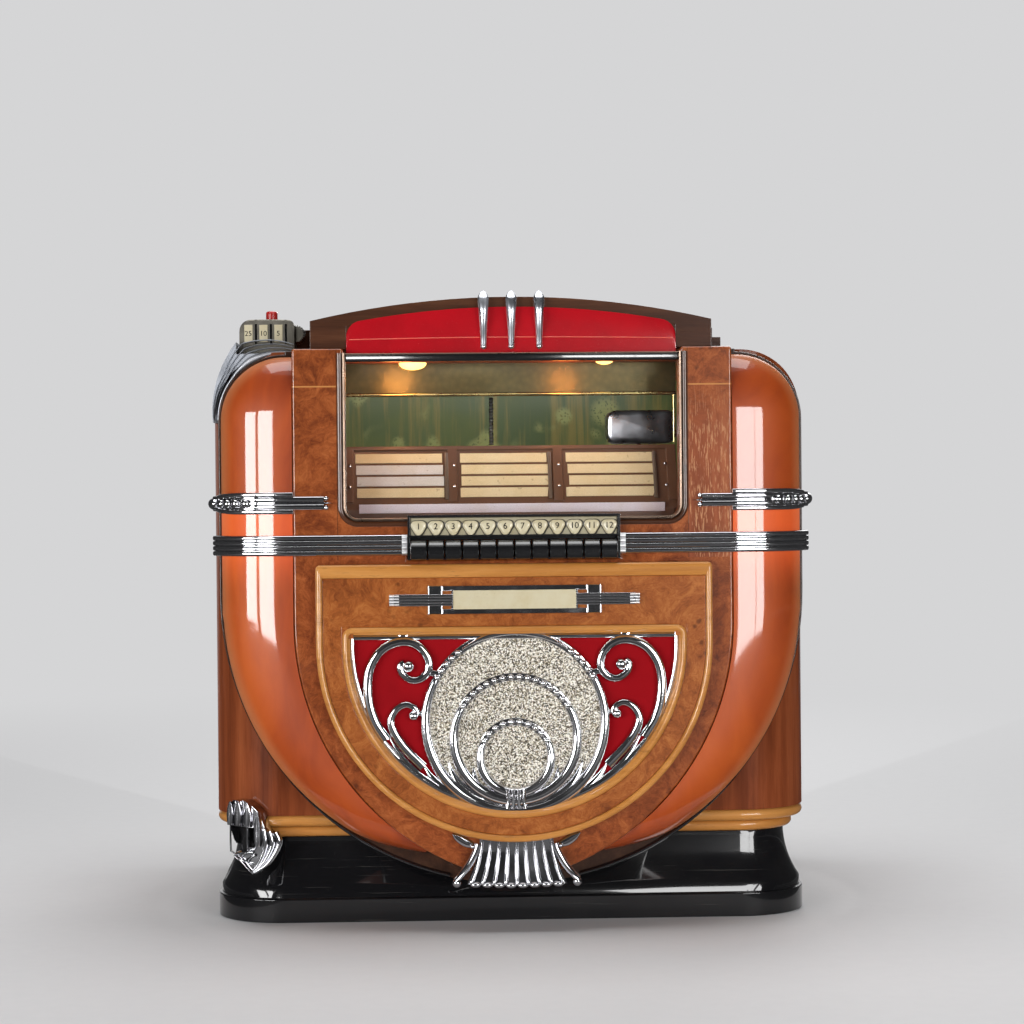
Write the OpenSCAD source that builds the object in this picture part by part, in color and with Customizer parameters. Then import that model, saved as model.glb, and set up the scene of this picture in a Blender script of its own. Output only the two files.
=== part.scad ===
// Countertop jukebox of about 1941, coin operated, twelve selections
// X runs to the right, Y to the back and Z up, from the middle of the plinth's underside

/* [Cabinet] */
// Width of the cabinet over its sides
body_w = 552; // [540:1:580]
// Overall depth, from the front of the keys to the back
body_d = 444; // [440:1:480]
// Height of the walnut case above its moulding
case_h = 426; // [420:1:450]
// Thickness of the case walls
wall_t = 10; // [8:0.5:12]
// Radius of the front corners in plan
corner_r = 65; // [50:1:75]
// Radius of the shoulders in front view
shoulder_r = 64; // [50:1:72]
// Thickness of the cabinet floor
floor_t = 14; // [10:1:18]
// Half width between the side panels' front flanges
flange_x = 170; // [165:1:190]

/* [Plinth] */
// Height of the black plinth
plinth_h = 78; // [60:1:90]
// Height of the plinth's straight foot
step_h = 22; // [14:1:30]
// Height of the bead above the foot
bead_h = 8; // [4:1:12]
// How far the bead stands back
bead_in = 3; // [2:0.5:5]
// How far the cove draws in
cove_in = 15; // [8:1:20]
// Height of the light base moulding
mould_h = 21; // [16:1:26]
// How far the lower tier of the moulding stands back
mould_in = 10; // [6:1:14]

/* [Front] */
// How far the keys stand in front of the veneered front
key_proud = 17; // [15:0.5:20]
// Thickness of the veneered front
front_t = 40; // [36:1:46]
// Thickness of the shield board
board_t = 15; // [12:1:20]
// Height of the centre of the board's round bottom
board_cz = 303; // [295:1:310]
// How far the board stands out round the pilasters
board_lip = 2.5; // [1:0.5:4]
// Half width of the veneered front
front_hw = 198; // [190:1:205]
// Height where the front starts to draw in
ogive_z = 278; // [270:1:290]
// Sideways shift of the centres of the front's lower arcs
ogive_shift = 40; // [30:1:50]
// How far the plastic pilasters stand inside the case's sides
pil_in = 11.5; // [8:0.5:16]
// How far the centres of the pilasters' domes lie outside the wooden front
dome_in = 8; // [4:0.5:14]
// Wall of the plastic pilasters
pilaster_wall = 3; // [2:0.5:4]
// Turn of a pilaster's lower arc down to its tip
pilaster_turn = 60; // [50:1:62]

/* [Window] */
// Half width of the window
win_hw = 149; // [140:1:152]
// Height of the window's lower edge
win_z0 = 373; // [370:1:380]
// Height of the window's upper edge
win_z1 = 514; // [500:1:516]
// Width of the window trim
trim_w = 8; // [5:0.5:9]
// Thickness of the window glass
glass_t = 3; // [2:0.5:5]

/* [Keys] */
// Pitch of the keys
key_pitch = 15.55; // [14.5:0.05:15.6]
// Gap between two keys
key_gap = 1.95; // [1:0.05:3]
// Height of a key's face
key_h = 12; // [10:0.5:12.5]
// Height of the key shaft
key_z = 345; // [342:0.5:347]
// Diameter of the key shaft
key_shaft_d = 4; // [3:0.5:5]
// Distance of the key shaft behind the veneered front
key_shaft_in = 15; // [12:0.5:20]
// Height of the key housing
house_h = 40; // [38:0.5:44]

/* [Grille] */
// Half width of the grille panel
panel_hw = 178; // [172:1:184]
// Height of the grille panel's top edge
panel_z1 = 331; // [326:1:332]
// Height of the centre of the grille panel's round bottom
panel_cz = 259; // [254:1:264]
// Thickness of the grille panel
panel_t = 9; // [7:0.5:12]
// Half width of the grille opening
grille_hw = 147.5; // [140:0.5:150]
// Height of the grille opening's top edge
grille_z1 = 268; // [262:1:274]
// Width of the outer edging
edging_w = 6; // [4:0.5:8]
// Width of the outer edging along the top
edging_top = 12; // [6:0.5:14]
// Width of the moulding round the opening
inner_w = 7; // [5:0.5:9]
// Radius of the largest ring of the casting
ring_r = 80.8; // [76:0.2:84]
// Height of the centre of the largest ring
ring_z = 188.6; // [186:0.2:192]
// Thickness of the casting
casting_t = 6; // [5:0.5:7]
// Thickness of the grille cloth
cloth_t = 3; // [2:0.5:4]

/* [Chrome] */
// Height of the ribbed bands' centre line
band_z = 348.5; // [344:0.5:352]
// Height of the ribbed bands
band_h = 18.5; // [14:0.5:22]
// Thickness of the ribbed bands
band_t = 6; // [4:0.5:8]
// Height of the bumpers' centre line
bumper_z = 386.5; // [382:0.5:392]
// Height of the bumpers
bumper_h = 14; // [10:0.5:16]
// Width of the foot casting at its top
foot_w0 = 86; // [76:1:96]
// Width of the foot casting at its bottom
foot_w1 = 116; // [104:1:124]
// Number of ribs of the foot casting
foot_n = 11; // [7:2:13]

/* [Lid] */
// How far the lid stands inside the centres of the shoulders
lid_in = 30; // [26:1:40]
// Height of the lid's ends above the deck
lid_end_h = 26; // [22:1:30]
// Rise of the lid's arch
lid_rise = 21; // [16:1:26]
// Wall of the lid
lid_t = 9; // [7:0.5:11]
// Diameter of the hinge pins
pin_d = 4; // [3:0.5:5]
// Height of the lid fins above the lid's crown
fin_over = 6; // [4:0.5:10]

/* [Coin gear] */
// Width of the coin head
coin_w = 56; // [50:1:60]
// Depth of the coin head
coin_d = 50; // [40:1:60]
// Thickness of the shoulder casting at its middle
saddle_t = 13; // [9:0.5:15]
// Diameter of the coin return button
button_d = 11; // [9:0.5:13]
// Travel of the coin return button
button_travel = 6; // [4:0.5:7]

/* [Mechanism] */
// Diameter of a record
record_d = 254; // [240:1:254]
// Thickness of a record
record_t = 2; // [1.5:0.1:2.4]
// Number of record trays
tray_n = 12; // [10:1:12]
// Pitch of the record trays
tray_pitch = 12.2; // [11.5:0.1:12.4]
// Diameter of the tray pivot post
post_d = 10; // [8:0.5:12]
// Diameter of the turntable
turntable_d = 130; // [110:1:150]
// Radius of the speaker
speaker_r = 74; // [66:1:76]

/* [Clearances] */
// Gap between pieces that move on each other
run_gap = 0.3; // [0.2:0.05:0.4]
// Gap round a shaft in its bore
shaft_gap = 0.2; // [0.1:0.05:0.3]

/* [Hidden] */
$fn = 64;
key_n = 12;
hw = body_w / 2;
front_y = -body_d / 2;
back_y = body_d / 2;
face_y = front_y + key_proud;
board_y = face_y + front_t;
case_y = board_y + board_t;
case_z = plinth_h + mould_h;
deck_z = case_z + case_h;
shoulder_x = hw - shoulder_r;
lid_hw = shoulder_x - lid_in;
shoulder_z = deck_z - shoulder_r;
pil_hw = hw - pil_in;
pil_w = pil_hw - front_hw;
pil_r = pil_w - dome_in;
dome_x = front_hw + dome_in;
board_hw = pil_hw + board_lip;
ogive_r = front_hw + ogive_shift;
key_w = key_pitch - key_gap;
house_hw = key_n * key_pitch / 2 + 2;
house_z0 = key_z - 10;
house_y = face_y - 10;
panel_y = face_y - panel_t;
cloth_y = face_y + cloth_t;
glass_y = face_y + 2;
lid_y0 = face_y + 17;
lid_y1 = back_y - 34;
lid_z = deck_z + run_gap;
crown_z = deck_z + lid_end_h + lid_rise;
arch_r = (lid_hw * lid_hw + lid_rise * lid_rise) / (2 * lid_rise);
hinge_y = lid_y1 + 6;
hinge_z = deck_z + 6.5;
stack_x = hw - wall_t - record_d / 2 - 10.5;
pivot_y = back_y - 32;
stack_y = pivot_y - stack_x;
floor_z = case_z + floor_t;
mech_z = floor_z + 168;
mech_t = 6;
tray_z0 = mech_z + 4;
tray_t = 3;
top_tray_z = tray_z0 + (tray_n - 1) * tray_pitch;
record_z = top_tray_z + tray_t;
arm_z = record_z + 30;
arm_x = hw - 61;
arm_y = back_y - 47;
door_hw = 196;
door_z0 = floor_z + 25;
door_z1 = deck_z - 40;
door_t = 12;
big = 2000;

key_first = 27;

// Front view outline carried from y0 to y1
module slab(y0, y1) translate([0, y1, 0]) rotate([90, 0, 0]) linear_extrude(y1 - y0) children();

// Plan outline carried from z0 to z1
module tier(z0, z1) translate([0, 0, z0]) linear_extrude(z1 - z0) children();

// Side view outline, in y and z, carried from x0 to x1
module plank(x0, x1) translate([x0, 0, 0]) rotate([90, 0, 90]) linear_extrude(x1 - x0) children();

// Box between two corners
module block(a, b) translate(a) cube(b - a);

// Both the piece and its mirror image across the middle
module both() {
    children();
    mirror([1, 0, 0]) children();
}

// What lies outside a round corner of radius r at the origin, in the first quadrant
module corner_waste(r) difference() {
    square(r + 1);
    circle(r);
}

// Profile in r and z carried round the plan: sides, front and two round front corners
module swept(half_w, y_front, h) {
    cx = half_w - corner_r;
    cy = y_front + corner_r;
    block([-cx, cy, 0], [cx, back_y, h]);
    translate([-cx, cy, 0]) rotate([0, 0, 180]) rotate_extrude(angle = 90) children();
    translate([cx, cy, 0]) rotate([0, 0, 270]) rotate_extrude(angle = 90) children();
    translate([-cx, cy, 0]) mirror([0, 1, 0]) rotate([90, 0, 90]) linear_extrude(2 * cx) children();
    both() translate([cx, back_y, 0]) rotate([90, 0, 0]) linear_extrude(back_y - cy) children();
}

// Front outline of the case, drawn in by the inset
module case_face(inset) difference() {
    translate([inset - hw, case_z - 1]) square([2 * (hw - inset), case_h - inset + 1]);
    for (s = [-1, 1])
        translate([s * shoulder_x, shoulder_z]) mirror([s < 0 ? 1 : 0, 0]) corner_waste(shoulder_r - inset);
}

// Plan outline of the case, drawn in by the inset
module case_plan(inset, extra = 0) difference() {
    translate([inset - hw, case_y + inset]) square([2 * (hw - inset), back_y - case_y - inset + extra]);
    for (s = [-1, 1])
        translate([s * (hw - corner_r), case_y + corner_r])
            mirror([0, 1]) mirror([s < 0 ? 1 : 0, 0]) corner_waste(corner_r - inset);
}

// The case as a solid loaf
module loaf(inset, extra = 0) intersection() {
    slab(case_y + inset - 1, back_y + extra) case_face(inset);
    tier(case_z - (inset > 0 ? 1 : 0), deck_z - inset + 1) case_plan(inset, extra);
}

// The case as a shell that is open at the back and below
module case_shell() difference() {
    loaf(0);
    loaf(wall_t, 1);
}

// U shaped outline of the shield board
module board_face() {
    dome_r = pil_r + board_lip;
    difference() {
        translate([-board_hw, board_cz]) square([2 * board_hw, deck_z - board_cz]);
        for (s = [-1, 1])
            translate([s * dome_x, shoulder_z]) mirror([s < 0 ? 1 : 0, 0]) corner_waste(dome_r);
        for (s = [-1, 1])
            translate([s * dome_x, shoulder_z + dome_r]) mirror([s < 0 ? 1 : 0, 0]) square(pil_w);
    }
    intersection() {
        translate([0, board_cz]) circle(board_hw);
        translate([-big / 2, board_cz - big]) square([big, big]);
    }
}

// Pointed arch outline of the veneered front
module ogive_face() {
    translate([-front_hw, ogive_z]) square([2 * front_hw, deck_z - ogive_z]);
    intersection() {
        translate([ogive_shift, ogive_z]) circle(ogive_r);
        translate([-ogive_shift, ogive_z]) circle(ogive_r);
        translate([-front_hw - 1, 0]) square([2 * front_hw + 2, ogive_z]);
    }
}

// Shield outline: square above its centre line and round below
module shield_face(half_w, cz, z1) {
    translate([-half_w, cz]) square([2 * half_w, z1 - cz]);
    intersection() {
        translate([0, cz]) circle(half_w);
        translate([-half_w - 1, cz - half_w - 1]) square([2 * half_w + 2, half_w + 1]);
    }
}

// Outline of the grille opening, grown by a margin
module grille_face(grow) shield_face(grille_hw + grow, grille_z1 - 11, grille_z1 + grow);

// Window outline, grown by a margin, with round lower corners
module window_face(grow, top) difference() {
    translate([-win_hw - grow, win_z0 - grow]) square([2 * (win_hw + grow), top - win_z0 + grow]);
    for (s = [-1, 1])
        translate([s * (win_hw - 10), win_z0 + 10]) mirror([0, 1]) mirror([s < 0 ? 1 : 0, 0])
            corner_waste(10 + grow);
}

// Solid through closed rings of points, each ring with the same number of points
module skin(rings, strip = false) {
    n = len(rings);
    m = len(rings[0]);
    half = m / 2;
    walls = [for (i = [0 : n - 2]) for (j = [0 : m - 1]) let (k = (j + 1) % m) each [
        [i * m + j, (i + 1) * m + j, (i + 1) * m + k],
        [i * m + j, (i + 1) * m + k, i * m + k]]];
    ends = strip
        ? [for (j = [0 : half - 2]) each [
            [j, j + 1, m - 2 - j], [j, m - 2 - j, m - 1 - j],
            [(n - 1) * m + j + 1, (n - 1) * m + j, (n - 1) * m + m - 2 - j],
            [(n - 1) * m + m - 2 - j, (n - 1) * m + j, (n - 1) * m + m - 1 - j]]]
        : [for (j = [1 : m - 2]) each [
            [0, j, j + 1],
            [(n - 1) * m, (n - 1) * m + j + 1, (n - 1) * m + j]]];
    polyhedron([for (r = rings) each r], concat(walls, ends), convexity = 8);
}

// Point of the pilaster's outer curve at an angle, pushed out by off
function curve_pt(a, off) = [front_hw + (pil_w + off) * sin(a), board_y - (front_t + off) * cos(a)];

// Path in plan from x0 on the front, round the right pilaster to its side
function wrap_path(x0, off) = concat(
    [[x0, face_y - off]],
    [for (i = [0 : 11]) curve_pt(i * 7.5, off)],
    [[board_hw + off, board_y - 2], [board_hw + off, board_y + 25]]);

function reversed(p) = [for (i = [len(p) - 1 : -1 : 0]) p[i]];

// Strip in plan that follows the front and the right pilaster
module wrap_strip(x0, t) polygon(concat(wrap_path(x0, t), reversed(wrap_path(x0, run_gap))));

// Point of a curve with one control point
function bend(p, t) = (1 - t) * (1 - t) * p[0] + 2 * t * (1 - t) * p[1] + t * t * p[2];

// Ribbon along points, tapering from width w0 to w1
module ribbon(p, w0, w1) {
    n = len(p) - 1;
    side = [for (i = [0 : n]) let (
        d = p[min(i + 1, n)] - p[max(i - 1, 0)],
        w = (w0 + (w1 - w0) * i / n) / 2) w * [-d[1], d[0]] / norm(d)];
    polygon(concat([for (i = [0 : n]) p[i] + side[i]], [for (i = [n : -1 : 0]) p[i] - side[i]]));
}

module base_plinth() color("#151515") {
    cove_h = plinth_h - step_h - bead_h;
    cove_r = (cove_in * cove_in + cove_h * cove_h) / (2 * cove_in);
    swept(hw, case_y, plinth_h) difference() {
        square([corner_r, plinth_h]);
        translate([corner_r - bead_in, step_h]) square([bead_in + 1, plinth_h]);
        translate([corner_r - bead_in - cove_in + cove_r, plinth_h]) circle(cove_r, $fn = 200);
    }
}

module base_moulding() color("#c88a44") translate([0, 0, plinth_h]) {
    h = mould_h / 2;
    swept(hw, case_y, mould_h) {
        square([corner_r - mould_in - h / 2, mould_h]);
        translate([corner_r - mould_in - h / 2, h / 2]) circle(h / 2);
        translate([0, h]) square([corner_r - h / 2, h]);
        translate([corner_r - h / 2, 1.5 * h]) circle(h / 2);
    }
}

module cabinet_floor() color("#7a5232") tier(case_z, floor_z) case_plan(wall_t);

module side_panel() intersection() {
    case_shell();
    block([flange_x, case_y - 1, case_z - 1], [hw + 1, back_y + 1, deck_z + 1]);
}

module side_panel_left() color("#78442a") difference() {
    mirror([1, 0, 0]) side_panel();
    coin_way(shoulder_z, big);
}

module side_panel_right() color("#78442a") side_panel();

// One hinge leaf's knuckle round the lid's axis
module lid_knuckle(x0, x1, foot_y, foot_z) difference() {
    union() {
        translate([x0, hinge_y, hinge_z]) rotate([0, 90, 0]) cylinder(r = pin_d / 2 + 3, h = x1 - x0);
        block([x0, min(foot_y, hinge_y), min(foot_z, hinge_z)], [x1, max(foot_y, hinge_y), max(foot_z, hinge_z)]);
    }
    translate([x0 - 1, hinge_y, hinge_z]) rotate([0, 90, 0]) cylinder(d = pin_d + 2 * shaft_gap, h = x1 - x0 + 2);
}

hinge_x = 110;
knuckle_w = 14;

module top_deck() color("#6e3f28") {
    difference() {
        block([-flange_x, case_y, deck_z - wall_t], [flange_x, back_y, deck_z]);
        block([-flange_x + 12, case_y + 30, deck_z - wall_t - 1], [flange_x - 12, lid_y1 - 12, deck_z + 1]);
    }
    for (s = [-1, 1]) for (k = [-1, 1]) {
        x = s * hinge_x + k * (knuckle_w + run_gap);
        lid_knuckle(x - knuckle_w / 2, x + knuckle_w / 2, hinge_y + pin_d / 2 + 3, deck_z);
    }
}

module shield_board() color("#3a2416") {
    difference() {
        slab(board_y, case_y) board_face();
        slab(board_y - 1, case_y + 1) window_face(6, deck_z - 4);
        translate([0, case_y + 1, floor_z + speaker_r + 1.5]) rotate([90, 0, 0])
            cylinder(r = speaker_r - 8, h = board_t + 2);
    }
    difference() {
        slab(case_y, case_y + corner_r) board_face();
        loaf(0, 1);
        block([-dome_x, case_y - 1, 0], [dome_x, case_y + corner_r + 1, big]);
    }
}

module burl_front() color("#a0602a") difference() {
    slab(face_y, board_y) ogive_face();
    slab(face_y - 1, board_y + 1) window_face(3, deck_z + 1);
    slab(face_y - 1, board_y + 1) grille_face(2.5);
    block([-house_hw, face_y - 1, house_z0], [house_hw, face_y + 26, house_z0 + 22]);
}

// Width of the pilaster's section along the radius of its lower arc at a turn of b degrees
function section_w(b) = let (
    u = [cos(b), -sin(b)],
    p = [ogive_r * u[0] - ogive_shift, ogive_z + ogive_r * u[1] - board_cz],
    r = pil_hw - 6 * b / pilaster_turn,
    k = p * u) sqrt(k * k - p * p + r * r) - k;

// How far the tip has narrowed at a turn of b degrees
function tip_f(b) = pow(max(0, (b - pilaster_turn + 16) / 16), 2);

// Section of the pilaster from its inner edge to its outer edge, with the depth d
function pilaster_ring(p, q, d) = let (
    k = 1 - pilaster_wall / norm(q - p),
    n = 8) concat(
    [for (i = [0 : n]) let (a = 90 * i / n, v = p + (q - p) * sin(a)) [v[0], board_y - d * cos(a), v[1]]],
    [for (i = [n : -1 : 0]) let (a = 90 * i / n, v = p + (q - p) * k * sin(a))
        [v[0], board_y - (d - pilaster_wall) * cos(a), v[1]]]);

module pilaster() {
    lower = [for (i = [0 : 16]) let (
        b = pilaster_turn * (1 - i / 16),
        u = [cos(b), -sin(b)],
        p = [-ogive_shift, ogive_z] + (ogive_r + run_gap) * u,
        w = section_w(b) * (1 - 0.55 * tip_f(b)))
        pilaster_ring(p, p + w * u, front_t * (1 - 0.6 * tip_f(b)))];
    x0 = front_hw + run_gap;
    upper = [for (i = [0 : 6]) let (
        a = 80 * i / 6,
        z = shoulder_z + pil_r * sin(a))
        pilaster_ring([x0, z], [dome_x + pil_r * cos(a), z], front_t * pow(cos(a), 0.8))];
    skin(concat(lower, upper), true);
}

module pilaster_left() color("#c85828") mirror([1, 0, 0]) pilaster();

module pilaster_right() color("#c85828") pilaster();

module grille_panel() color("#a8642c") difference() {
    slab(panel_y, face_y) shield_face(panel_hw - edging_w, panel_cz, panel_z1 - edging_top);
    slab(panel_y - 1, face_y + 1) grille_face(inner_w);
}

module grille_edging() color("#c98d49") {
    difference() {
        slab(panel_y - 3, face_y) shield_face(panel_hw, panel_cz, panel_z1);
        slab(panel_y - 4, face_y + 1) shield_face(panel_hw - edging_w, panel_cz, panel_z1 - edging_top);
    }
    difference() {
        slab(panel_y - 2, face_y) grille_face(inner_w);
        slab(panel_y - 3, face_y + 1) grille_face(0);
    }
}

module grille_cloth() color("#a50f19") slab(face_y, cloth_y) grille_face(2.5 - run_gap);

disc_t = 1;

module glitter_disc() color("#c8bea5") slab(face_y - disc_t, face_y) intersection() {
    translate([0, ring_z]) circle(ring_r);
    grille_face(-run_gap);
}

// Radius of the rings of the casting and the heights of their centres
ring_step = [0, 25.2, 48.9];
ring_drop = [0, 15.2, 32];
ring_w = 4.4;

// Points of a scroll about a centre that winds in from radius r0 over some turns
function scroll(c, r0, r1, turns, n) = [for (i = [0 : n]) let (
    t = i / n,
    r = r1 + (r0 - r1) * pow(1 - t, 2.2),
    a = 180 - 360 * turns * t) c + r * [cos(a), sin(a)]];

// Fretwork of the grille in front view, with every bar drawn k times its width
module fretwork(k) {
    foot = [0, grille_z1 - 11 - grille_hw];
    for (i = [0 : 2]) translate([0, ring_z - ring_drop[i]]) difference() {
        circle(ring_r - ring_step[i] + k * ring_w / 2);
        circle(ring_r - ring_step[i] - k * ring_w / 2);
    }
    for (m = [0, 1]) mirror([m, 0]) {
        translate([0, ring_z]) {
            ribbon(concat([[-131, -12], [-137, 12], [-138, 32]], scroll([-97, 51], 40, 5, 1.2, 30)), 5 * k, 3 * k);
            translate([-97, 51]) circle(k * 5);
            ribbon(concat([[-116, -20]], scroll([-97, 6], 17, 4, 0.9, 18)), 4.5 * k, 3 * k);
            translate([-97, 6]) circle(k * 4);
            translate([-101, 73]) square([10 * k, 12 * k], center = true);
            ribbon([[-84, 52], [-74, 44], [-62, 36]], 4 * k, 4 * k);
            ribbon([[-92, 10], [-84, 12], [-74, 15]], 4 * k, 4 * k);
        }
        for (i = [0 : 7]) let (
            a = 196 + 9 * i,
            tip = [0, ring_z] + (ring_r + 14 - 5.5 * i) * [cos(a), 0.85 * sin(a)])
            ribbon([for (j = [0 : 8]) bend([foot + [-2, 2], [tip[0] * 0.9, foot[1] + 6 + 2 * i], tip], j / 8)],
                6 * k, 1.2 * k);
    }
    translate(foot + [0, 8]) square([14 * k, 26 * k], center = true);
}

module grille_casting() color("#d8dadc") {
    slab(face_y - disc_t - 0.6 * casting_t, face_y - disc_t) intersection() {
        fretwork(1);
        grille_face(-run_gap);
    }
    slab(face_y - disc_t - casting_t, face_y - disc_t - 0.6 * casting_t) intersection() {
        fretwork(0.55);
        grille_face(-2);
    }
    for (i = [0 : 2]) for (j = [0 : 10]) let (a = 40 + 10 * j, r = ring_r - ring_step[i])
        if (i > 0 || abs(a - 90) > 15)
            translate([r * cos(a), face_y - disc_t - casting_t, ring_z - ring_drop[i] + r * sin(a)])
                sphere(r = 1.1);
}

module foot_casting() color("#dcdedf") {
    z1 = panel_cz - panel_hw - 0.4;
    h = 38;
    rings = [for (i = [-1 : 7]) let (
        t = i < 0 ? 1 : 1 - i / 7,
        w = (foot_w0 + (foot_w1 - foot_w0) * t * t) / 2,
        y = panel_y - 1 + (front_y - panel_y + 1) * pow(t, 1.5) + (i < 0 ? 4 : 0),
        z = z1 - h * t - (i < 0 ? 3 : 0)) concat(
        [[-w, face_y, z]],
        [for (r = [0 : foot_n - 1]) for (a = [10 : 40 : 170])
            [-w + (r + (1 - cos(a)) / 2) * 2 * w / foot_n, y + 4 * (1 - sin(a)), z]],
        [[w, face_y, z]])];
    skin(rings);
}

plate_z = 299;
plate_w = 111;
plate_h = 17;

module nameplate_frame() color("#c9c9c4") slab(panel_y - 5, panel_y) {
    difference() {
        translate([0, plate_z]) square([plate_w + 44, plate_h + 8], center = true);
        translate([0, plate_z]) square([plate_w + 2 * run_gap, plate_h + 2 * run_gap], center = true);
        for (s = [-1, 1]) for (k = [-1, 1])
            translate([s * (plate_w / 2 + 15), plate_z + k * (plate_h / 2 + 2)]) square([8, 6], center = true);
    }
    for (s = [-1, 1]) for (k = [-1 : 1]) translate([s * 95, plate_z + k * 4]) square([36, 3], center = true);
    for (s = [-1, 1]) translate([s * 80, plate_z]) square([6, 11], center = true);
    for (s = [-1, 1]) translate([s * 111, plate_z]) square([3, 11], center = true);
}

module nameplate_insert() color("#d7cdaa") slab(panel_y - 3, panel_y)
    translate([0, plate_z]) square([plate_w, plate_h], center = true);

module chrome_bands() color("#d0d3d6") both() {
    x0 = house_hw + 1;
    tier(band_z - band_h / 2, band_z + band_h / 2) wrap_strip(x0, band_t / 2);
    for (i = [0 : 3]) let (z = band_z - band_h / 2 + i * band_h / 4 + 0.5)
        tier(z, z + band_h / 4 - 1) wrap_strip(x0 + 4, band_t);
}

module chrome_bumpers() color("#d6d9db") both() {
    x0 = win_hw + trim_w + 9;
    bar_h = 0.6 * bumper_h;
    tier(bumper_z - bar_h / 2, bumper_z + bar_h / 2) wrap_strip(x0, 6);
    for (s = [-1, 1]) let (z = bumper_z + s * (bar_h / 2 + 1.2))
        tier(z - 1.4, z + 1.4) wrap_strip(front_hw - 6, 3);
    for (i = [0 : 3]) let (a = 40 + 12.5 * i, p = curve_pt(a, 5.2))
        translate([p[0], p[1], bumper_z]) sphere(r = 4.7);
    translate([board_hw + 6, board_y + 12, bumper_z]) sphere(r = 5);
}

module window_trim() color("#8a7a5a") {
    difference() {
        slab(face_y - 3, glass_y) window_face(trim_w, win_z1 + 7);
        slab(face_y - 4, glass_y + 1) window_face(0, win_z1);
        slab(face_y, glass_y + 1) difference() {
            window_face(trim_w + 1, win_z1 + 8);
            window_face(3 - run_gap, win_z1 + 7);
        }
        block([-house_hw - run_gap, face_y - 4, 0], [house_hw + run_gap, face_y, house_z0 + house_h + run_gap]);
    }
}

module window_glass() color("#cfd8d4", 0.3) slab(glass_y, glass_y + glass_t) window_face(3 - run_gap, win_z1 + 7);

// Panel behind the window, leaning back, drawn in its own flat frame
title_lean = 28;
title_h = 66;
card_gap = 17.4;
card_w = (2 * win_hw - 58) / 3;
card_pitch = card_w + card_gap;
card_x = -5;
rib_w = 9;

module on_title() translate([0, board_y + 4, win_z0 + 6]) rotate([-title_lean, 0, 0]) children();

module title_panel() color("#6a4426") on_title() {
    block([-win_hw - 5, 0, 0], [win_hw + 5, 3, title_h]);
    for (x = [for (k = [-1, 1]) card_x + k * card_pitch / 2 - rib_w / 2, -win_hw - 5, win_hw + 5 - rib_w])
        block([x, -2, 8], [x + rib_w, 0, title_h]);
    block([-win_hw - 5, -2, title_h - 4], [win_hw + 5, 0, title_h]);
}

module card_strips() color("#e1cda0") on_title() {
    for (c = [-1 : 1]) for (r = [0 : 3])
        translate([card_x + c * card_pitch, 0, 13 + r * 12]) block([-card_w / 2, -0.8, 0], [card_w / 2, 0, 9.5]);
    block([14 - win_hw, -0.8, 1], [win_hw - 14, 0, 8]);
}

module key_housing() color("#2a2a2c") {
    z1 = house_z0 + house_h;
    difference() {
        block([-house_hw, house_y, house_z0], [house_hw, face_y, z1]);
        block([-house_hw + 2, house_y - 1, house_z0 + 1.5], [house_hw - 2, face_y + 1, house_z0 + 20.5]);
        block([-house_hw + 2, house_y - 1, house_z0 + 22], [house_hw - 2, house_y + 4, z1 - 2]);
    }
    for (s = [-1, 1]) difference() {
        x = s * (house_hw - 1 - run_gap);
        block([x - 1, face_y, house_z0 + 2], [x + 1, face_y + key_shaft_in + 6, house_z0 + 18]);
        translate([x - 2, face_y + key_shaft_in, key_z]) rotate([0, 90, 0]) cylinder(d = key_shaft_d + 0.1, h = 4);
    }
}

module number_badges() color("#d7cdaa") {
    z0 = house_z0 + 22 + run_gap;
    block([-house_hw + 2 + run_gap, house_y + 2.5, z0], [house_hw - 2 - run_gap, house_y + 4, z0 + house_h - 25]);
    for (i = [0 : key_n - 1])
        translate([(i - (key_n - 1) / 2) * key_pitch, house_y + 2.5, z0 + 7]) rotate([90, 0, 0])
        linear_extrude(3.5) difference() {
            circle(r = 6.6);
            for (s = [-1, 1]) translate([s * 9, 5]) circle(r = 5);
        }
    for (i = [0 : 2]) translate([coin_x + (i - 1) * coin_step - 6.5, coin_y0, coin_slot_z])
        block([-2.5, -1, -5], [2.5, 0, 5]);
}

module key_shaft() color("#9a9a98")
    translate([-house_hw + run_gap, face_y + key_shaft_in, key_z]) rotate([0, 90, 0])
    cylinder(d = key_shaft_d, h = 2 * (house_hw - run_gap));

module selector_key(i) color("#101012") translate([(i - 0.5 - key_n / 2) * key_pitch, 0, 0]) {
    y = face_y + key_shaft_in;
    difference() {
        union() {
            plank(-key_w / 2, key_w / 2) difference() {
                translate([front_y, key_z - key_h / 2]) square([9, key_h]);
                translate([front_y + 5, key_z - key_h / 2 + 5]) rotate(180) corner_waste(5);
            }
            plank(-3.5, 3.5) translate([front_y + 8, key_z - 2.5]) square([y - front_y - 8, 5]);
            translate([-3.5, y, key_z]) rotate([0, 90, 0]) cylinder(r = key_shaft_d / 2 + 2.5, h = 7);
        }
        translate([-4, y, key_z]) rotate([0, 90, 0]) cylinder(d = key_shaft_d + 2 * shaft_gap, h = 8);
    }
}

// Coin head on the left shoulder
coin_x = -shoulder_x - 12;
coin_step = 14;
coin_y0 = case_y + 15;
coin_z1 = deck_z + 28;
coin_slot_z = coin_z1 - 12;
button_x = coin_x + 3;
button_y = coin_y0 + 37;
saddle_in = 17 + saddle_t;
saddle_lift = 10;
chute_y = coin_y0 + 25;

// Round outline of the shoulder casting in front view, drawn in by an inset
module saddle_round(inset) translate([saddle_in - shoulder_x, shoulder_z + saddle_lift])
    circle(shoulder_r + saddle_in + 2 - inset);

// Way of the coins from the head down into the case
module coin_way(z0, z1) block([coin_x - 8, chute_y - 3, z0], [coin_x + 8, chute_y + 3, z1]);

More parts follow.
